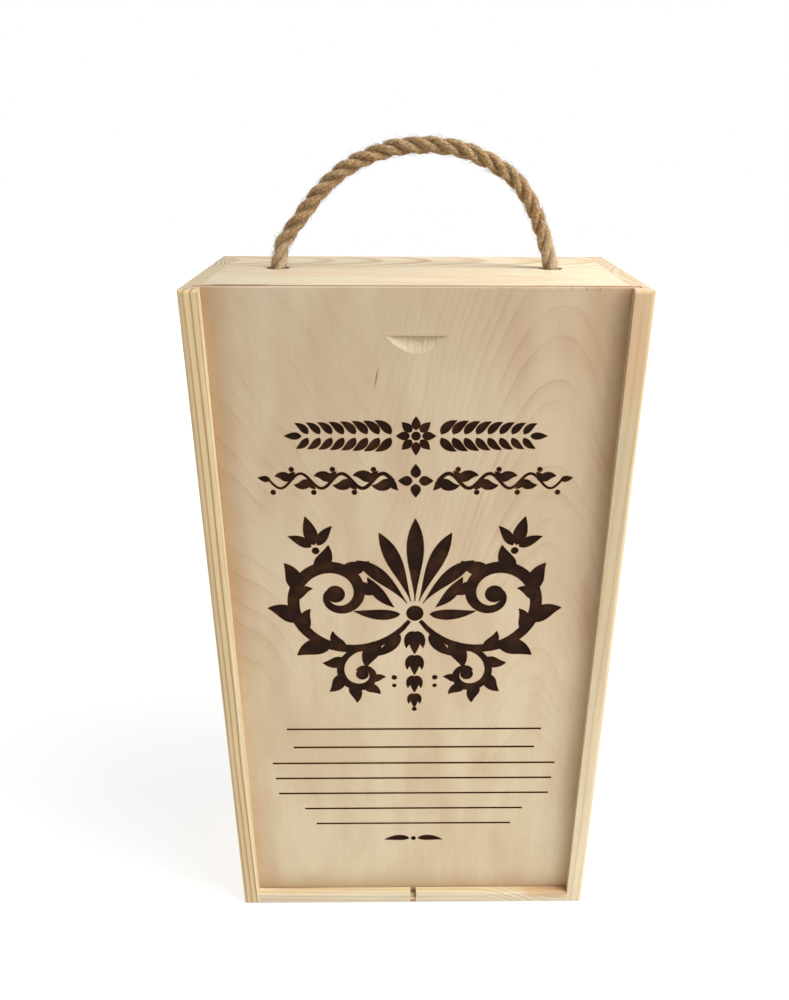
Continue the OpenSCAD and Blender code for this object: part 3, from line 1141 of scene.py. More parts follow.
@dataclass
class Studio:
    """White floor, white surroundings and soft lamps."""

    floor_size: float = 6.0
    floor_grey: float = 0.8
    world_strength: float = 0.32
    aim: Triple = (0.0, 0.0, 0.2)
    floor_glow: float = 0.75
    white_from: Span = (0.35, 1.1)
    shadow_share: float = 0.3
    lamps: tuple[Lamp, ...] = (
        Lamp("key_lamp", round_deg=67.0, height_deg=25.0, size=0.7, power=15.5),
        Lamp("high_lamp", round_deg=60.0, height_deg=64.0, size=0.7, power=16.0),
        Lamp("left_lamp", round_deg=262.0, height_deg=4.0, size=0.6, power=8.0),
        Lamp("rear_lamp", round_deg=222.0, height_deg=0.0, size=0.4, power=12.0),
    )

    @staticmethod
    def _seen(g: Graph) -> Socket:
        """1 for camera, glossy and transmission rays."""
        path = g.add("ShaderNodeLightPath")
        return g.math("MAXIMUM", path.outputs["Is Camera Ray"],
                      g.math("MAXIMUM", path.outputs["Is Glossy Ray"], path.outputs["Is Transmission Ray"]))

    def _floor(self) -> None:
        """Makes the floor: white where it is seen, but for the box's faint shadow."""
        bpy.ops.mesh.primitive_plane_add(size=self.floor_size, location=(0.0, 0.0, 0.0))
        floor = bpy.context.active_object
        floor.name = "floor"
        settle(floor)
        material = bpy.data.materials.new("pale_floor")
        material.use_nodes = True
        material.node_tree.nodes.clear()
        g = Graph(material.node_tree)
        plain = g.add("ShaderNodeBsdfDiffuse")
        plain.inputs["Color"].default_value = (*[self.floor_grey] * 3, 1.0)
        faint = g.add("ShaderNodeBsdfDiffuse")
        faint.inputs["Color"].default_value = (*[self.shadow_share] * 3, 1.0)
        glow = g.add("ShaderNodeEmission")
        ground = g.add("ShaderNodeTexCoord").outputs["Object"]
        far = g.step(g.vector("LENGTH", ground), *self.white_from)
        g.feed(glow.inputs["Strength"], g.ramp(far, 1.0 - self.floor_glow, self.floor_glow))
        white = g.add("ShaderNodeAddShader")
        g.feed(white.inputs[0], faint.outputs[0])
        g.feed(white.inputs[1], glow.outputs[0])
        mixed = g.add("ShaderNodeMixShader")
        g.feed(mixed.inputs[0], self._seen(g))
        g.feed(mixed.inputs[1], plain.outputs[0])
        g.feed(mixed.inputs[2], white.outputs[0])
        out = g.add("ShaderNodeOutputMaterial")
        g.feed(out.inputs["Surface"], mixed.outputs[0])
        floor.data.materials.append(material)

    def _world(self) -> None:
        """Lights the scene evenly and shows white behind it."""
        world = bpy.data.worlds.new("studio")
        world.use_nodes = True
        world.node_tree.nodes.clear()
        g = Graph(world.node_tree)
        light = g.add("ShaderNodeBackground")
        light.inputs["Color"].default_value = (1.0, 1.0, 1.0, 1.0)
        g.feed(light.inputs["Strength"], g.math("MAXIMUM", self._seen(g), self.world_strength))
        out = g.add("ShaderNodeOutputWorld")
        g.feed(out.inputs["Surface"], light.outputs[0])
        bpy.context.scene.world = world

    def build(self) -> None:
        """Makes the floor, the surroundings and the lamps."""
        self._floor()
        self._world()
        for lamp in self.lamps:
            lamp.build(self.aim)
        bpy.context.scene.view_settings.view_transform = "Standard"


class Side(Enum):
    """The two halves of a mirrored design."""

    LEFT = -1
    RIGHT = 1


@dataclass
class Ornament:
    """Generic foliage and writing rules for the lid, in millimetres from its centre line.

    Shapes are closed outlines that may overlap; grow_mm widens each of them.
    """

    grow_mm: float = 0.0
    garland_z_mm: float = 285.5
    vine_z_mm: float = 264.0
    scroll_z_mm: float = 203.0
    flourish_z_mm: float = 46.2
    rules_mm: tuple[Span, ...] = (
        (123.2, 68.0), (111.2, 65.0), (100.4, 77.0), (90.0, 76.0), (79.4, 75.0), (68.5, 61.0), (57.5, 55.0),
    )
    rule_thick_mm: float = 0.8
    leaf_fullness: float = 0.85
    least_half_mm: float = 0.05
    stem_swell: Span = (0.75, 0.9)
    merge_mm: float = 1e-4
    straight_rad: float = 0.002
    shapes: list[Outline] = field(default_factory=list)

    @staticmethod
    def _reach(centre: Span, radius: float, angle_deg: float) -> Span:
        """The point that lies a radius away from a centre."""
        angle = math.radians(angle_deg)
        return centre[0] + radius * math.cos(angle), centre[1] + radius * math.sin(angle)

    def _stroke(self, line: Outline, halves: Sequence[float]) -> None:
        """Adds a band of varying width along a line.

        Args:
            line: the band's middle.
            halves: half its width at each point of the line.
        """
        line = list(line)
        last = len(line) - 1
        for end, inner in ((0, 1), (last, last - 1)):
            (x0, z0), (x1, z1) = line[end], line[inner]
            share = self.grow_mm / math.hypot(x1 - x0, z1 - z0)
            line[end] = (x0 - (x1 - x0) * share, z0 - (z1 - z0) * share)
        left, right = [], []
        for i, ((x, z), half) in enumerate(zip(line, halves)):
            (ax, az), (bx, bz) = line[max(i - 1, 0)], line[min(i + 1, last)]
            share = (half + self.grow_mm) / math.hypot(bx - ax, bz - az)
            left.append((x - (bz - az) * share, z + (bx - ax) * share))
            right.append((x + (bz - az) * share, z - (bx - ax) * share))
        self.shapes.append(left + right[::-1])

    def _leaf(self, foot: Span, angle_deg: float, length: float, width: float,
              bend_deg: float = 0.0, belly: float = 0.72, points: int = 14) -> None:
        """Adds a pointed leaf that curves along an arc.

        Args:
            foot: where it grows from.
            angle_deg: its first direction, 0 to the right and 90 upwards.
            length: along its rib.
            width: at its widest.
            bend_deg: turn from foot to tip.
            belly: over 1 it is widest towards the tip.
            points: points along each side.
        """
        x, z = foot
        line, halves = [], []
        for i in range(points + 1):
            t = i / points
            line.append((x, z))
            half = width / 2 * math.sin(math.pi * t ** belly) ** self.leaf_fullness
            halves.append(max(self.least_half_mm, half))
            x, z = self._reach((x, z), length / points, angle_deg + bend_deg * t)
        self._stroke(line, halves)

    def _disc(self, centre: Span, radius: float, points: int = 20) -> None:
        """Adds a round dot."""
        edge = radius + self.grow_mm
        self.shapes.append([self._reach(centre, edge, 360.0 * i / points) for i in range(points)])

    def _spiral(self, centre: Span, angles_deg: Span, radii: Span, half_width: float, taper: float,
                points: int = 72) -> Outline:
        """Adds a stem that winds up round a centre.

        Args:
            centre: the middle of the spiral.
            angles_deg: where it starts and ends.
            radii: its distance from the centre there.
            half_width: half the stem's greatest width.
            taper: share of it that is left at the ends.
            points: points along the stem.

        Returns:
            The stem's middle line.
        """
        line, halves = [], []
        early, full = self.stem_swell
        for i in range(points + 1):
            t = i / points
            angle = angles_deg[0] + (angles_deg[1] - angles_deg[0]) * t
            line.append(self._reach(centre, radii[0] * (radii[1] / radii[0]) ** t, angle))
            halves.append(half_width * (taper + (1 - taper) * math.sin(math.pi * t ** early) ** full))
        self._stroke(line, halves)
        return line

    def _foliage(self, line: Outline, first: int, every: int, lengths: Sequence[float], lean_deg: float,
                 curl_deg: float, width: float) -> None:
        """Adds leaves along a stem.

        Args:
            line: the stem's middle line.
            first: the point that the first leaf grows from.
            every: points from one leaf to the next.
            lengths: of the leaves.
            lean_deg: angle off the stem, over 0 to its left.
            curl_deg: turn from foot to tip.
            width: of the longest leaf.
        """
        for k, length in enumerate(lengths):
            (ax, az), (bx, bz) = line[first + every * k - 1], line[first + every * k + 1]
            heading = math.degrees(math.atan2(bz - az, bx - ax))
            broad = width * length / max(lengths)
            self._leaf(line[first + every * k], heading + lean_deg, length, broad, curl_deg)

    def _mirrored(self, start: int) -> None:
        """Adds the mirror image of every shape made since start."""
        for shape in self.shapes[start:]:
            self.shapes.append([(-x, z) for x, z in shape[::-1]])

    def _fan(self, centre: Span, radius: float,
             leaves: Iterable[tuple[float, float, float, float]], belly: float = 0.72) -> None:
        """Adds leaves that spread from a point.

        Args:
            centre: what they spread from.
            radius: distance of their feet from it.
            leaves: angle, length, width and bend of each.
            belly: over 1 they are widest towards the tip.
        """
        for angle, length, width, bend in leaves:
            self._leaf(self._reach(centre, radius, angle), angle, length, width, bend, belly)

    def _garland(self, pairs: int = 8) -> None:
        """A row of leaf pairs on each side of a rosette."""
        z0, petals = self.garland_z_mm, 8
        first_x, row, off, lean, bend = 11.5, 37.5, 1.0, 62.0, 44.0
        (long, shorter), (wide, slimmer) = (9.4, 2.0), (3.9, 0.8)
        start = len(self.shapes)
        for i in range(pairs):
            t = i / (pairs - 1)
            x = first_x + row * t
            for up in (1, -1):
                self._leaf((x, z0 + up * off), up * lean, long - shorter * t, wide - slimmer * t, -up * bend)
        self._leaf((52.0, z0), angle_deg=0.0, length=7.5, width=3.2)
        self._mirrored(start)
        self._disc((0.0, z0), radius=2.0)
        self._fan((0.0, z0), 2.9, [(90.0 + 360.0 / petals * i, 6.0, 3.9, 0.0) for i in range(petals)])

    def _vine(self, leaves: int = 6, steps: int = 70) -> None:
        """A waving stem with leaves and berries on each side of a four-petalled flower."""
        z0 = self.vine_z_mm
        left, right, swing, wave, stem, thinner = 10.5, 68.0, 3.6, 19.0, 0.85, 0.5
        first, every, petals = 0.02, 0.5, 4
        start = len(self.shapes)
        line, halves = [], []
        for i in range(steps + 1):
            x = left + (right - left) * i / steps
            line.append((x, z0 + swing * math.sin(2 * math.pi * (x - left) / wave)))
            halves.append(stem * (1.0 - thinner * i / steps))
        self._stroke(line, halves)
        for k in range(leaves):
            up = 1 if k % 2 else -1
            x, z = line[max(1, round((first + every * k) * wave / (right - left) * steps))]
            self._leaf((x, z), up * 58.0, length=10.4 - 0.5 * k, width=5.2 - 0.2 * k, bend_deg=-up * 82.0)
            self._leaf((x + 0.6, z), up * 108.0, length=6.6 - 0.25 * k, width=3.4, bend_deg=up * 34.0)
            self._disc((x + 8.2, z0 - up * 5.6), radius=1.15)
        self._leaf((right - 0.6, line[-1][1]), angle_deg=10.0, length=5.5, width=2.8)
        self._mirrored(start)
        self._fan((0.0, z0), 1.6, [(360.0 / petals * i, 6.4, 4.6, 0.0) for i in range(petals)])

    def _scrollwork(self) -> None:
        """Leafy scrolls round a fan of leaves, with a hanging chain of husks between them."""
        z0 = self.scroll_z_mm
        start = len(self.shapes)
        high = self._spiral((38.5, z0 + 1.0), angles_deg=(-158.0, 385.0), radii=(38.5, 5.0), half_width=3.0,
                            taper=0.3)
        self._disc((39.3, z0 + 1.8), radius=4.6)
        self._foliage(high, first=4, every=6, lengths=(17.0, 19.0, 17.5, 16.0, 15.5, 15.0, 12.5),
                      lean_deg=-14.0, curl_deg=-50.0, width=9.4)
        self._foliage(high, first=8, every=6, lengths=(13.0, 14.0, 12.5), lean_deg=16.0, curl_deg=74.0,
                      width=6.4)
        bud = (48.0, z0 + 26.0)
        self._fan(bud, 2.6, [(76.0, 15.0, 6.4, 0.0), (116.0, 12.0, 4.8, 20.0), (36.0, 12.0, 4.8, -20.0)])
        self._disc((bud[0], bud[1] - 0.6), radius=1.7)
        curl, broad = (27.0, z0 - 45.0), 5.6
        low = self._spiral(curl, angles_deg=(100.0, -318.0), radii=(16.0, 3.2), half_width=2.0, taper=0.4)
        self._disc(curl, radius=3.2)
        self._foliage(low, first=9, every=8, lengths=(12.0, 13.0, 12.0, 10.5, 8.0), lean_deg=14.0,
                      curl_deg=58.0, width=6.8)
        self._leaf((7.5, z0 - 21.5), angle_deg=-60.0, length=18.0, width=broad, bend_deg=34.0)
        self._leaf((7.5, z0 - 9.5), angle_deg=-6.0, length=23.0, width=broad, bend_deg=22.0)
        self._leaf((10.5, z0 - 5.5), angle_deg=40.0, length=21.0, width=broad, bend_deg=26.0, belly=1.1)
        self._disc((10.5, z0 - 47.0), radius=1.3)
        self._disc((10.5, z0 - 52.0), radius=1.0)
        self._mirrored(start)
        boss = (0.0, z0 - 9.0)
        self._disc(boss, radius=4.2)
        self._fan(boss, 7.0, ((90.0, 44.0, 8.2, 0.0), (73.0, 40.0, 7.4, -12.0), (107.0, 40.0, 7.4, 12.0),
                              (55.0, 34.0, 6.8, -24.5), (125.0, 34.0, 6.8, 24.5)), belly=1.6)
        z = z0 - 19.0
        for length, width in ((13.0, 5.6), (11.5, 5.0), (10.0, 4.4), (8.5, 3.8)):
            side = 0.8 * length, 0.75 * width
            leaves = (-90.0, length, width, 0.0), (-130.0, *side, 40.0), (-50.0, *side, -40.0)
            self._fan((0.0, z), 0.8, leaves)
            z -= length + 1.0
        self._disc((0.0, z - 0.8), radius=1.2)

    def _rules(self) -> None:
        """Plain rules to write on, with a small flourish under them."""
        for z, half in self.rules_mm:
            self._stroke([(-half, z), (half, z)], [self.rule_thick_mm / 2] * 2)
        start = len(self.shapes)
        self._leaf((2.6, self.flourish_z_mm), angle_deg=10.0, length=14.0, width=3.6, bend_deg=-30.0)
        self._mirrored(start)
        self._disc((0.0, self.flourish_z_mm), radius=1.3)

    def outlines(self) -> list[Outline]:
        """Draws the whole design.

        Returns:
            The closed outlines, as X and Z in millimetres.
        """
        self._garland()
        self._vine()
        self._scrollwork()
        self._rules()
        return self.shapes

    def cutter(self, name: str, face: float, depth: float, material: Material) -> Piece:
        """Makes the solid that cuts the design into the lid.

        Args:
            name: the cutter's name.
            face: Y of the lid's face.
            depth: of the cut.
            material: of the cut faces.

        Returns:
            The cutter, in which overlapping shapes are one.
        """
        points, loops = [], []
        for outline in self.outlines():
            turned = sum(a[0] * b[1] - b[0] * a[1] for a, b in zip(outline, outline[1:] + outline[:1])) < 0.0
            loops.append(range(len(points), len(points) + len(outline)))
            points += [Vector(point) for point in (outline[::-1] if turned else outline)]
        flat, _, triangles, _, _, covered = delaunay_2d_cdt(points, [], loops, 1, self.merge_mm, True)
        inside = [triangle for triangle, shapes in zip(triangles, covered) if shapes]
        cutter = mesh_object(name, [(x * MM, face - depth, z * MM) for x, z in flat], inside)
        select_only(cutter)
        bpy.ops.object.mode_set(mode="EDIT")
        bpy.ops.mesh.select_all(action="SELECT")
        bpy.ops.mesh.delete_loose()
        bpy.ops.mesh.select_all(action="SELECT")
        bpy.ops.mesh.dissolve_limited(angle_limit=self.straight_rad)
        bpy.ops.mesh.extrude_region_move(TRANSFORM_OT_translate={"value": (0.0, 2 * depth, 0.0)})
        bpy.ops.mesh.select_all(action="SELECT")
        bpy.ops.mesh.normals_make_consistent(inside=False)
        bpy.ops.object.mode_set(mode="OBJECT")
        cutter.data.materials.append(material)
        return cutter


@dataclass
class Lid:
    """The sliding lid: a birch plywood sheet with a thumb notch and a burnt design."""

    effects: Effects
    edge_ease: float = 0.3 * MM
    notch_width: float = 27.0 * MM
    notch_height: float = 7.5 * MM
    notch_depth: float = 2.0 * MM
    notch_drop: float = 20.0 * MM
    notch_tear: float = 0.06 * MM
    notch_facets: int = 720
    tear_carry: float = 0.55
    tear_top_share: float = 0.35
    notch_seed: int = 5
    burn_depth: float = 0.45 * MM
    rim_depth: float = 0.04 * MM
    rim_grow_mm: float = 0.22

    def __post_init__(self) -> None:
        """Reads the lid's place from the frame and makes its finishes."""
        self.low, self.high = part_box("sliding_lid")
        sheet = BirchPlywood("birch_lid", (0.0, 1.0, 0.0), self.low.y / MM, (self.high.y - self.low.y) / MM,
                             foot_mm=self.low.z / MM, head_mm=self.high.z / MM)
        self.birch = sheet.material(self.effects)
        self.fresh = sheet.material(self.effects, fresh=True)
        self.burnt = Scorch().material(self.effects)
        self.browned = Scorch().material(self.effects, rim=True)

    def _sheet(self) -> Piece:
        """The plain sheet with eased edges."""
        size = self.high - self.low
        bpy.ops.mesh.primitive_cube_add(size=1.0, location=(self.low + self.high) / 2)
        lid = bpy.context.active_object
        lid.name = "engraved_lid"
        lid.scale = size
        settle(lid)
        bpy.ops.object.mode_set(mode="EDIT")
        bpy.ops.mesh.select_all(action="SELECT")
        bpy.ops.mesh.bevel(offset=self.edge_ease, segments=2, profile=0.5)
        bpy.ops.object.mode_set(mode="OBJECT")
        lid.data.materials.append(self.birch)
        return lid

    def _notch(self) -> Piece:
        """The cone that cuts the notch, with its flat end upwards."""
        depth = self.notch_depth
        radius = ((self.notch_width / 2) ** 2 + depth ** 2) / (2 * depth)
        middle = self.high.z - self.notch_drop - self.notch_height / 2
        bpy.ops.mesh.primitive_cone_add(
            vertices=self.notch_facets, radius1=radius - depth, radius2=radius, depth=self.notch_height,
            location=(0.0, self.low.y + depth - radius, middle),
        )
        cone = bpy.context.active_object
        cone.name = "notch_cutter"
        settle(cone)
        chance = random.Random(self.notch_seed)
        drift = 0.0
        for vertex in cone.data.vertices:
            share = 1.0 if vertex.co.z < middle else self.tear_top_share
            drift = self.tear_carry * drift + chance.uniform(-1.0, 1.0) * self.notch_tear * share
            out = Vector((vertex.co.x, vertex.co.y - self.low.y - depth + radius, 0.0)).normalized()
            vertex.co += out * drift
        cone.data.materials.append(self.fresh)
        return cone

    def _cut(self, lid: Piece, cutter: Piece) -> None:
        """Takes a cutter out of the lid and drops it."""
        cut = lid.modifiers.new(cutter.name, "BOOLEAN")
        cut.operation = "DIFFERENCE"
        cut.solver = "EXACT"
        cut.material_mode = "TRANSFER"
        cut.object = cutter
        apply_modifiers(lid)
        bpy.data.objects.remove(cutter)

    def build(self) -> Piece:
        """Makes the lid.

        Returns:
            The lid, riding on its body.
        """
        lid = self._sheet()
        self._cut(lid, self._notch())
        rim = Ornament(self.rim_grow_mm)
        self._cut(lid, rim.cutter("rim_cutter", self.low.y, self.rim_depth, self.browned))
        self._cut(lid, Ornament().cutter("burn_cutter", self.low.y, self.burn_depth, self.burnt))
        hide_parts("sliding_lid")
        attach(lid, "lid")
        log.info("%s: %d faces, %d engraved shapes", lid.name, len(lid.data.polygons), len(rim.shapes))
        return lid


@dataclass
class RopeLay:
    """Three strands laid round each other, and the sweep that makes them a mesh."""

    diameter: float = 7.5 * MM
    strands: int = 3
    strand_radius: float = 1.93 * MM
    lay_length: float = 26.0 * MM
    yarns: int = 7
    yarn_depth: float = 0.17
    lump_size: float = 1.1 * MM
    lump_height: float = 0.16 * MM
    sides: int = 28
    step: float = 0.45 * MM
    worn_end: float = 27.0 * MM
    worn_fade: float = 12.0 * MM
    turn_drift: Span = (0.25, 1.7)
    swells: tuple[Span, Span] = ((0.05, 5.1), (0.03, 12.7))
    # where the painted shade between strands starts, and how fast it deepens
    crease_shade_from: float = 0.93
    crease_shade_over: float = 0.38
    crease_share: float = 0.25
    strand_shift: Span = (37.0, 9.0)
    ridge_power: float = 0.7
    phase_range: Span = (0.0, 6.28)
    phases: int = 8
    fibre_foot: float = 0.42
    fibre_lift: Span = (0.25, 0.8)
    fibre_sag: Span = (-0.6, 0.2)
    fibre_sway: Span = (-0.4, 0.4)
    fibre_bend: float = 0.35
    fibre_share: Span = (0.25, 1.0)
    fibre_share_power: float = 1.9
    fibre_thick_mm: Span = (0.04, 0.10)
    fibre_pieces: int = 5
    fibre_taper: float = 0.8
    fibre_lay_mm: float = 0.4
    fibre_spread_mm: Span = (-2.0, 2.0)
    seed: int = 7
    fibre_seed: int = 18

    @staticmethod
    def smooth_line(points: Sequence[Vector], step: float, between: int = 24) -> list[Vector]:
        """Draws one smooth curve through the points and spaces it evenly.

        Args:
            points: what the curve passes through.
            step: spacing of the result.
            between: how many pieces each stretch is first cut into.

        Returns:
            Points along the curve.
        """
        dense: list[Vector] = []
        last = len(points) - 1
        for i in range(last):
            a, b = points[max(i - 1, 0)], points[i]
            c, d = points[i + 1], points[min(i + 2, last)]
            for k in range(between):
                t = k / between
                dense.append(0.5 * (2 * b + (c - a) * t + (2 * a - 5 * b + 4 * c - d) * t * t
                                    + (3 * b - 3 * c + d - a) * t ** 3))
        dense.append(points[-1].copy())
        total = sum((q - p).length for p, q in zip(dense, dense[1:]))
        count = max(2, round(total / step))
        spaced, gone, at = [dense[0].copy()], 0.0, 0
        for i in range(1, count):
            goal = total * i / count
            while gone + (dense[at + 1] - dense[at]).length < goal:
                gone += (dense[at + 1] - dense[at]).length
                at += 1
            share = (goal - gone) / (dense[at + 1] - dense[at]).length
            spaced.append(dense[at].lerp(dense[at + 1], share))
        spaced.append(dense[-1].copy())
        return spaced

    @staticmethod
    def frames(line: Sequence[Vector]) -> list[tuple[Vector, Vector, Vector]]:
        """Directions along, beside and across a line, carried without twist.

        Args:
            line: points along it.

        Returns:
            One set of three unit vectors for each point.
        """
        last = len(line) - 1
        along = [(line[min(i + 1, last)] - line[max(i - 1, 0)]).normalized() for i in range(last + 1)]
        beside = along[0].orthogonal().normalized()
        found = []
        for i, direction in enumerate(along):
            if i:
                beside = along[i - 1].rotation_difference(direction) @ beside
            beside = (beside - direction * beside.dot(direction)).normalized()
            found.append((direction, beside, direction.cross(beside)))
        return found

    def sweep(self, name: str, line: Sequence[Vector], start: float = 0.0) -> Piece:
        """Lays the strands along a line.

        Args:
            name: the piece's name.
            line: evenly spaced points of the rope's middle.
            start: length of rope before the line, which sets where the strands stand.

        Returns:
            The rope with its three attributes: lay, the painted shade between strands, and worn.
        """
        chance = random.Random(self.seed)
        phases = [chance.uniform(*self.phase_range) for _ in range(self.phases)]
        frames = self.frames(line)
        helix = self.diameter / 2 - self.strand_radius
        vertices, faces, lay, crease_shade, worn = [], [], [], [], []
        whole = sum((q - p).length for p, q in zip(line, line[1:]))
        sway, sway_rate = self.turn_drift
        (slow, slow_rate), (quick, quick_rate) = self.swells
        shift_along, shift_across = self.strand_shift
        for strand in range(self.strands):
            base = len(vertices)
            gone = start
            for i, (point, (_, beside, across)) in enumerate(zip(line, frames)):
                if i:
                    gone += (point - line[i - 1]).length
                s = gone / self.lay_length
                turn = 2 * math.pi * (s + strand / self.strands) + sway * math.sin(sway_rate * s + phases[0])
                swell = (1.0 + slow * math.sin(slow_rate * s + phases[strand])
                         + quick * math.sin(quick_rate * s + phases[strand + self.strands]))
                outward = beside * math.cos(turn) + across * math.sin(turn)
                middle = point + outward * helix
                end_off = min(gone - start, whole - gone + start)
                worn += [min(1.0, max(0.0, (self.worn_end - end_off) / self.worn_fade))] * self.sides
                for k in range(self.sides):
                    angle = 2 * math.pi * k / self.sides
                    yarn = angle + turn
                    ridge = abs(math.cos(self.yarns * yarn / 2)) ** self.ridge_power
                    radius = self.strand_radius * swell * (1.0 - self.yarn_depth + self.yarn_depth * ridge)
                    offset = beside * math.cos(angle) + across * math.sin(angle)
                    place = middle + offset * radius
                    place += offset * noise.noise(place / self.lump_size) * self.lump_height
                    vertices.append(place)
                    ring = self.strand_radius / MM
                    lay.append((gone / MM + shift_along * strand, ring * math.cos(yarn),
                                ring * math.sin(yarn) + shift_across * strand))
                    # how deep the point sits, for the painted shade between strands
                    reach = (place - point).length / (self.diameter / 2)
                    sunk = min(1.0, max(0.0, (self.crease_shade_from - reach) / self.crease_shade_over))
                    crease_shade.append(sunk + self.crease_share * (1.0 - ridge))
            rings = len(line)
            for i in range(rings - 1):
                for k in range(self.sides):
                    a = base + i * self.sides + k
                    b = base + i * self.sides + (k + 1) % self.sides
                    faces.append((a, b, b + self.sides, a + self.sides))
            faces.append(tuple(base + k for k in reversed(range(self.sides))))
            top = base + (rings - 1) * self.sides
            faces.append(tuple(top + k for k in range(self.sides)))
        rope = mesh_object(name, vertices, faces)
        store(rope, "lay", lay)
        store(rope, "crease_shade", [min(1.0, h) for h in crease_shade])
        store(rope, "worn", worn)
        rope.data.polygons.foreach_set("use_smooth", [True] * len(rope.data.polygons))
        return rope

    def fuzz(self, name: str, line: Sequence[Vector], count: int, longest: float) -> Piece:
        """Loose fibres that stand off the rope.

        Args:
            name: the piece's name.
            line: the rope's middle.
            count: how many.
            longest: length of the longest.

        Returns:
            The fibres as thin three-sided hairs.
        """
        chance = random.Random(self.fibre_seed)
        frames = self.frames(line)
        vertices, faces, lay = [], [], []
        for _ in range(count):
            i = chance.randrange(2, len(line) - 2)
            along, beside, across = frames[i]
            angle = chance.uniform(0.0, 2 * math.pi)
            out = beside * math.cos(angle) + across * math.sin(angle)
            point = line[i] + out * self.diameter * self.fibre_foot
            heading = (out * chance.uniform(*self.fibre_lift) + along * chance.choice((-1, 1))).normalized()
            sag = out * chance.uniform(*self.fibre_sag) + beside * chance.uniform(*self.fibre_sway)
            sag *= self.fibre_bend
            length = longest * chance.uniform(*self.fibre_share) ** self.fibre_share_power
            thick = chance.uniform(*self.fibre_thick_mm) * MM
            base = len(vertices)
            pieces = self.fibre_pieces
            for k in range(pieces + 1):
                t = k / pieces
                for corner in range(3):
                    turn = 2 * math.pi * corner / 3
                    aside = beside * math.cos(turn) + across * math.sin(turn)
                    vertices.append(point + aside * thick * (1.0 - self.fibre_taper * t))
                    lay.append((i * self.fibre_lay_mm, chance.uniform(*self.fibre_spread_mm), t))
                heading = (heading + sag / pieces).normalized()
                point = point + heading * length / pieces
            for k in range(pieces):
                for corner in range(3):
                    a, b = base + 3 * k + corner, base + 3 * k + (corner + 1) % 3
                    faces.append((a, b, b + 3, a + 3))
            faces.append((base + 2, base + 1, base))
            faces.append((base + 3 * pieces, base + 3 * pieces + 1, base + 3 * pieces + 2))
        fibres = mesh_object(name, vertices, faces)
        store(fibres, "lay", lay)
        return fibres


@dataclass
class RopeHandle:
    """The rope: its arch over the box, its two ends through the holes and their knots."""

    lay: RopeLay = field(default_factory=RopeLay)
    hole_x: float = 65.0 * MM
    hole_y: float = 9.0 * MM
    top: float = 350.0 * MM
    board: float = 8.0 * MM
    bend: float = 10.0 * MM
    fibre_count: int = 2600
    fibre_length: float = 5.0 * MM
    knot_start: float = 10.0 * MM
    knot_step_share: float = 1.3
    path_every: int = 3
    route_mm: tuple[Span, ...] = (
        (-62.5, 10.0), (-58.5, 16.0), (-53.5, 22.0), (-48.5, 28.0), (-42.5, 34.5), (-36.0, 40.0),
        (-28.5, 44.8), (-20.5, 48.2), (-11.0, 51.2), (0.0, 52.5), (10.5, 52.4), (20.0, 51.0),
        (29.0, 48.2), (37.5, 44.0), (44.5, 39.5), (50.0, 34.0), (54.5, 27.2), (58.0, 20.0), (61.0, 12.5),
    )
    knot_mm: tuple[Triple, ...] = (
        (0.0, 0.0, 0.0), (0.3, 0.0, -3.2), (3.6, -1.4, -6.2), (6.2, 1.4, -10.4), (2.6, 5.2, -13.6),
        (-3.4, 4.4, -12.6), (-6.2, -0.6, -9.0), (-2.6, -5.0, -6.2), (3.0, -4.8, -8.2),
        (4.4, -1.2, -12.2), (1.0, 1.4, -16.6), (0.4, 0.4, -21.0), (0.0, 0.0, -27.5),
    )

    def _route(self) -> list[Vector]:
        """The arch's middle line, from under the left hole to under the right one."""
        foot = self.top - self.board
        points = [Vector((-self.hole_x, self.hole_y, foot)), Vector((-self.hole_x, self.hole_y, self.top))]
        points += [Vector((x * MM, self.hole_y, self.top + z * MM)) for x, z in self.route_mm]
        points += [Vector((self.hole_x, self.hole_y, self.top)), Vector((self.hole_x, self.hole_y, foot))]
        return RopeLay.smooth_line(points, self.lay.step)

    def _knot_line(self, side: Side) -> list[Vector]:
        """An overhand knot that hangs under its hole, from the board down to the cut end."""
        foot = self.top - self.board
        x0, y0 = side.value * self.hole_x, self.hole_y
        points = [Vector((x0 + side.value * x * MM, y0 + y * MM, foot + z * MM)) for x, y, z in self.knot_mm]
        return RopeLay.smooth_line(points, self.lay.step * self.knot_step_share)

    def build(self) -> list[Piece]:
        """Makes the rope.

        Returns:
            The arch, its fibres and the two knots.
        """
        jute = Jute().material()
        line = self._route()
        arch = self.lay.sweep("handle_rope_strands", line)
        fibres = self.lay.fuzz("handle_rope_fibres", line, self.fibre_count, self.fibre_length)
        pieces = [arch, fibres]
        for obj in pieces:
            obj.data.materials.append(jute)
            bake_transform(obj)
        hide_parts("handle_rope")
        for side in Side:
            name = f"{side.name.lower()}_rope_knot"
            knot = self.lay.sweep(f"{name}_strands", self._knot_line(side), self.knot_start)
            knot.data.materials.append(jute)
            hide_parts(name)
            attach(knot, "box")
            pieces.append(knot)
        for obj in pieces:
            log.info("%s: %d faces", obj.name, len(obj.data.polygons))
        return pieces


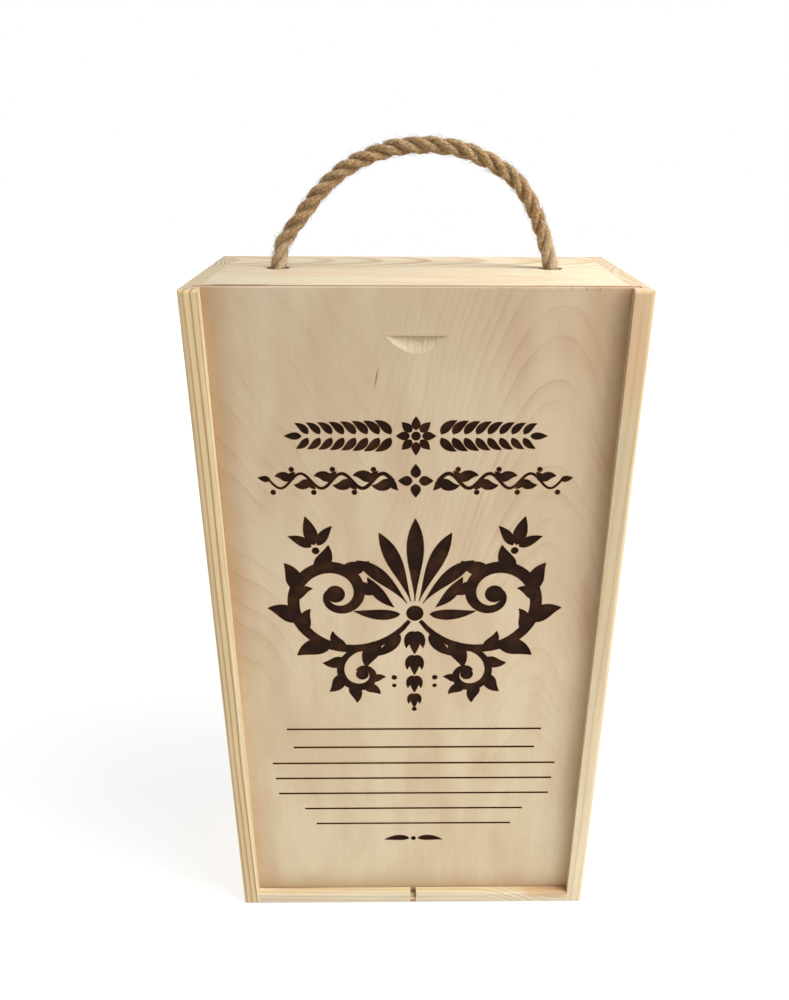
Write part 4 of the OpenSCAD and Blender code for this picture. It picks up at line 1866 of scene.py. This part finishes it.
class Carcass:
    """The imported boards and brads, which keep their shape and get their finishes."""

    BOARDS = (
        PineBoard("pine_left_side", Grain.UPRIGHT, pith_mm=(-156.0, 17.0), lean_deg=(0.0, 0.35),
                  ring_mm=1.9, wobble_mm=4.4, contrast=1.0, early="DDC9A3", late="8F6A3C",
                  end_tone="C4BA9C", end_share=0.85, front_light_tone="E5CB9A", front_light_share=0.8,
                  late_warm="BE8A58", late_warmth=0.8, sap_mm=(-92.7, -92.2), sap_share=0.85),
        PineBoard("pine_right_side", Grain.UPRIGHT, pith_mm=(170.0, -20.0), lean_deg=(0.5, -0.8),
                  ring_mm=3.4, wobble_mm=8.0, contrast=0.3, early="D2BE98", rosy_share=0.6,
                  end_tone="E8D0B0", end_share=0.5, front_light_tone="F6E3BF", front_light_share=0.85,
                  front_light_fall_mm=(250.0, 30.0), front_rosy=0.3),
        PineBoard("pine_top_board", Grain.ACROSS, pith_mm=(-292.0, 35.0), lean_deg=(0.0, -5.4),
                  ring_mm=2.3, wobble_mm=3.5, contrast=0.8, early="E7D9BA", late="A9834F",
                  painted_light_slope=0.16, calm_mm=(-30.0, 18.0), torn_mm=(-90.0, -58.0, -43.5)),
        PineBoard("pine_bottom_board", Grain.ACROSS, pith_mm=(-48.0, -18.0), lean_deg=(0.0, -1.6),
                  ring_mm=2.1, wobble_mm=5.0, contrast=0.65, early="E0D2AE", late="BE945C",
                  front_light_share=0.5, sweep_mm=(38.0, 84.0, 15.0), stain_mm=(80.0, 10.0, 9.0), slot_mm=1.65),
    )
    PLAIN_SHEET = {"foot_mm": -30.0, "head_mm": 400.0, "fleck_mm": (0.0, 900.0)}
    # name, axis through the sheet, fold_mm and shift_mm
    SHEETS = (
        ("back_panel", 1, 34.0, (0.0, 7.0, 400.0)),
        ("divider", 0, 5.0, (3.0, 0.0, 900.0)),
    )

    def __init__(self, effects: Effects) -> None:
        """Keeps the shared node groups."""
        self.effects = effects

    def _dress(self, node: str, material: Material) -> None:
        """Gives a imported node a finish."""
        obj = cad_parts[node]
        obj.data.materials.clear()
        obj.data.materials.append(material)
        log.info("%s: dressed in %s", node, material.name)

    def build(self) -> None:
        """Dresses the boards, the back panel, the divider and the brads."""
        for board in self.BOARDS:
            self._dress(board.name.removeprefix("pine_"), board.material(self.effects))
        for name, axis, fold, shift in self.SHEETS:
            low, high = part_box(name)
            normal = tuple(1.0 if i == axis else 0.0 for i in range(3))
            thick = (high - low)[axis] / MM
            sheet = BirchPlywood(f"birch_{name}", normal, low[axis] / MM, thick, fold_mm=fold, shift_mm=shift,
                                 **self.PLAIN_SHEET)
            self._dress(name, sheet.material(self.effects))
        steel = BradSteel().material()
        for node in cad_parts:
            if node.endswith("_brads"):
                self._dress(node, steel)


def main() -> None:
    """Builds the camera, the studio and every piece of the box."""
    logging.basicConfig(level=logging.INFO, format="%(name)s: %(message)s")
    Viewpoint().build()
    RopeHandle().build()
    Studio().build()
    effects = Effects()
    Carcass(effects).build()
    Lid(effects).build()


if __name__ == "__main__":
    main()
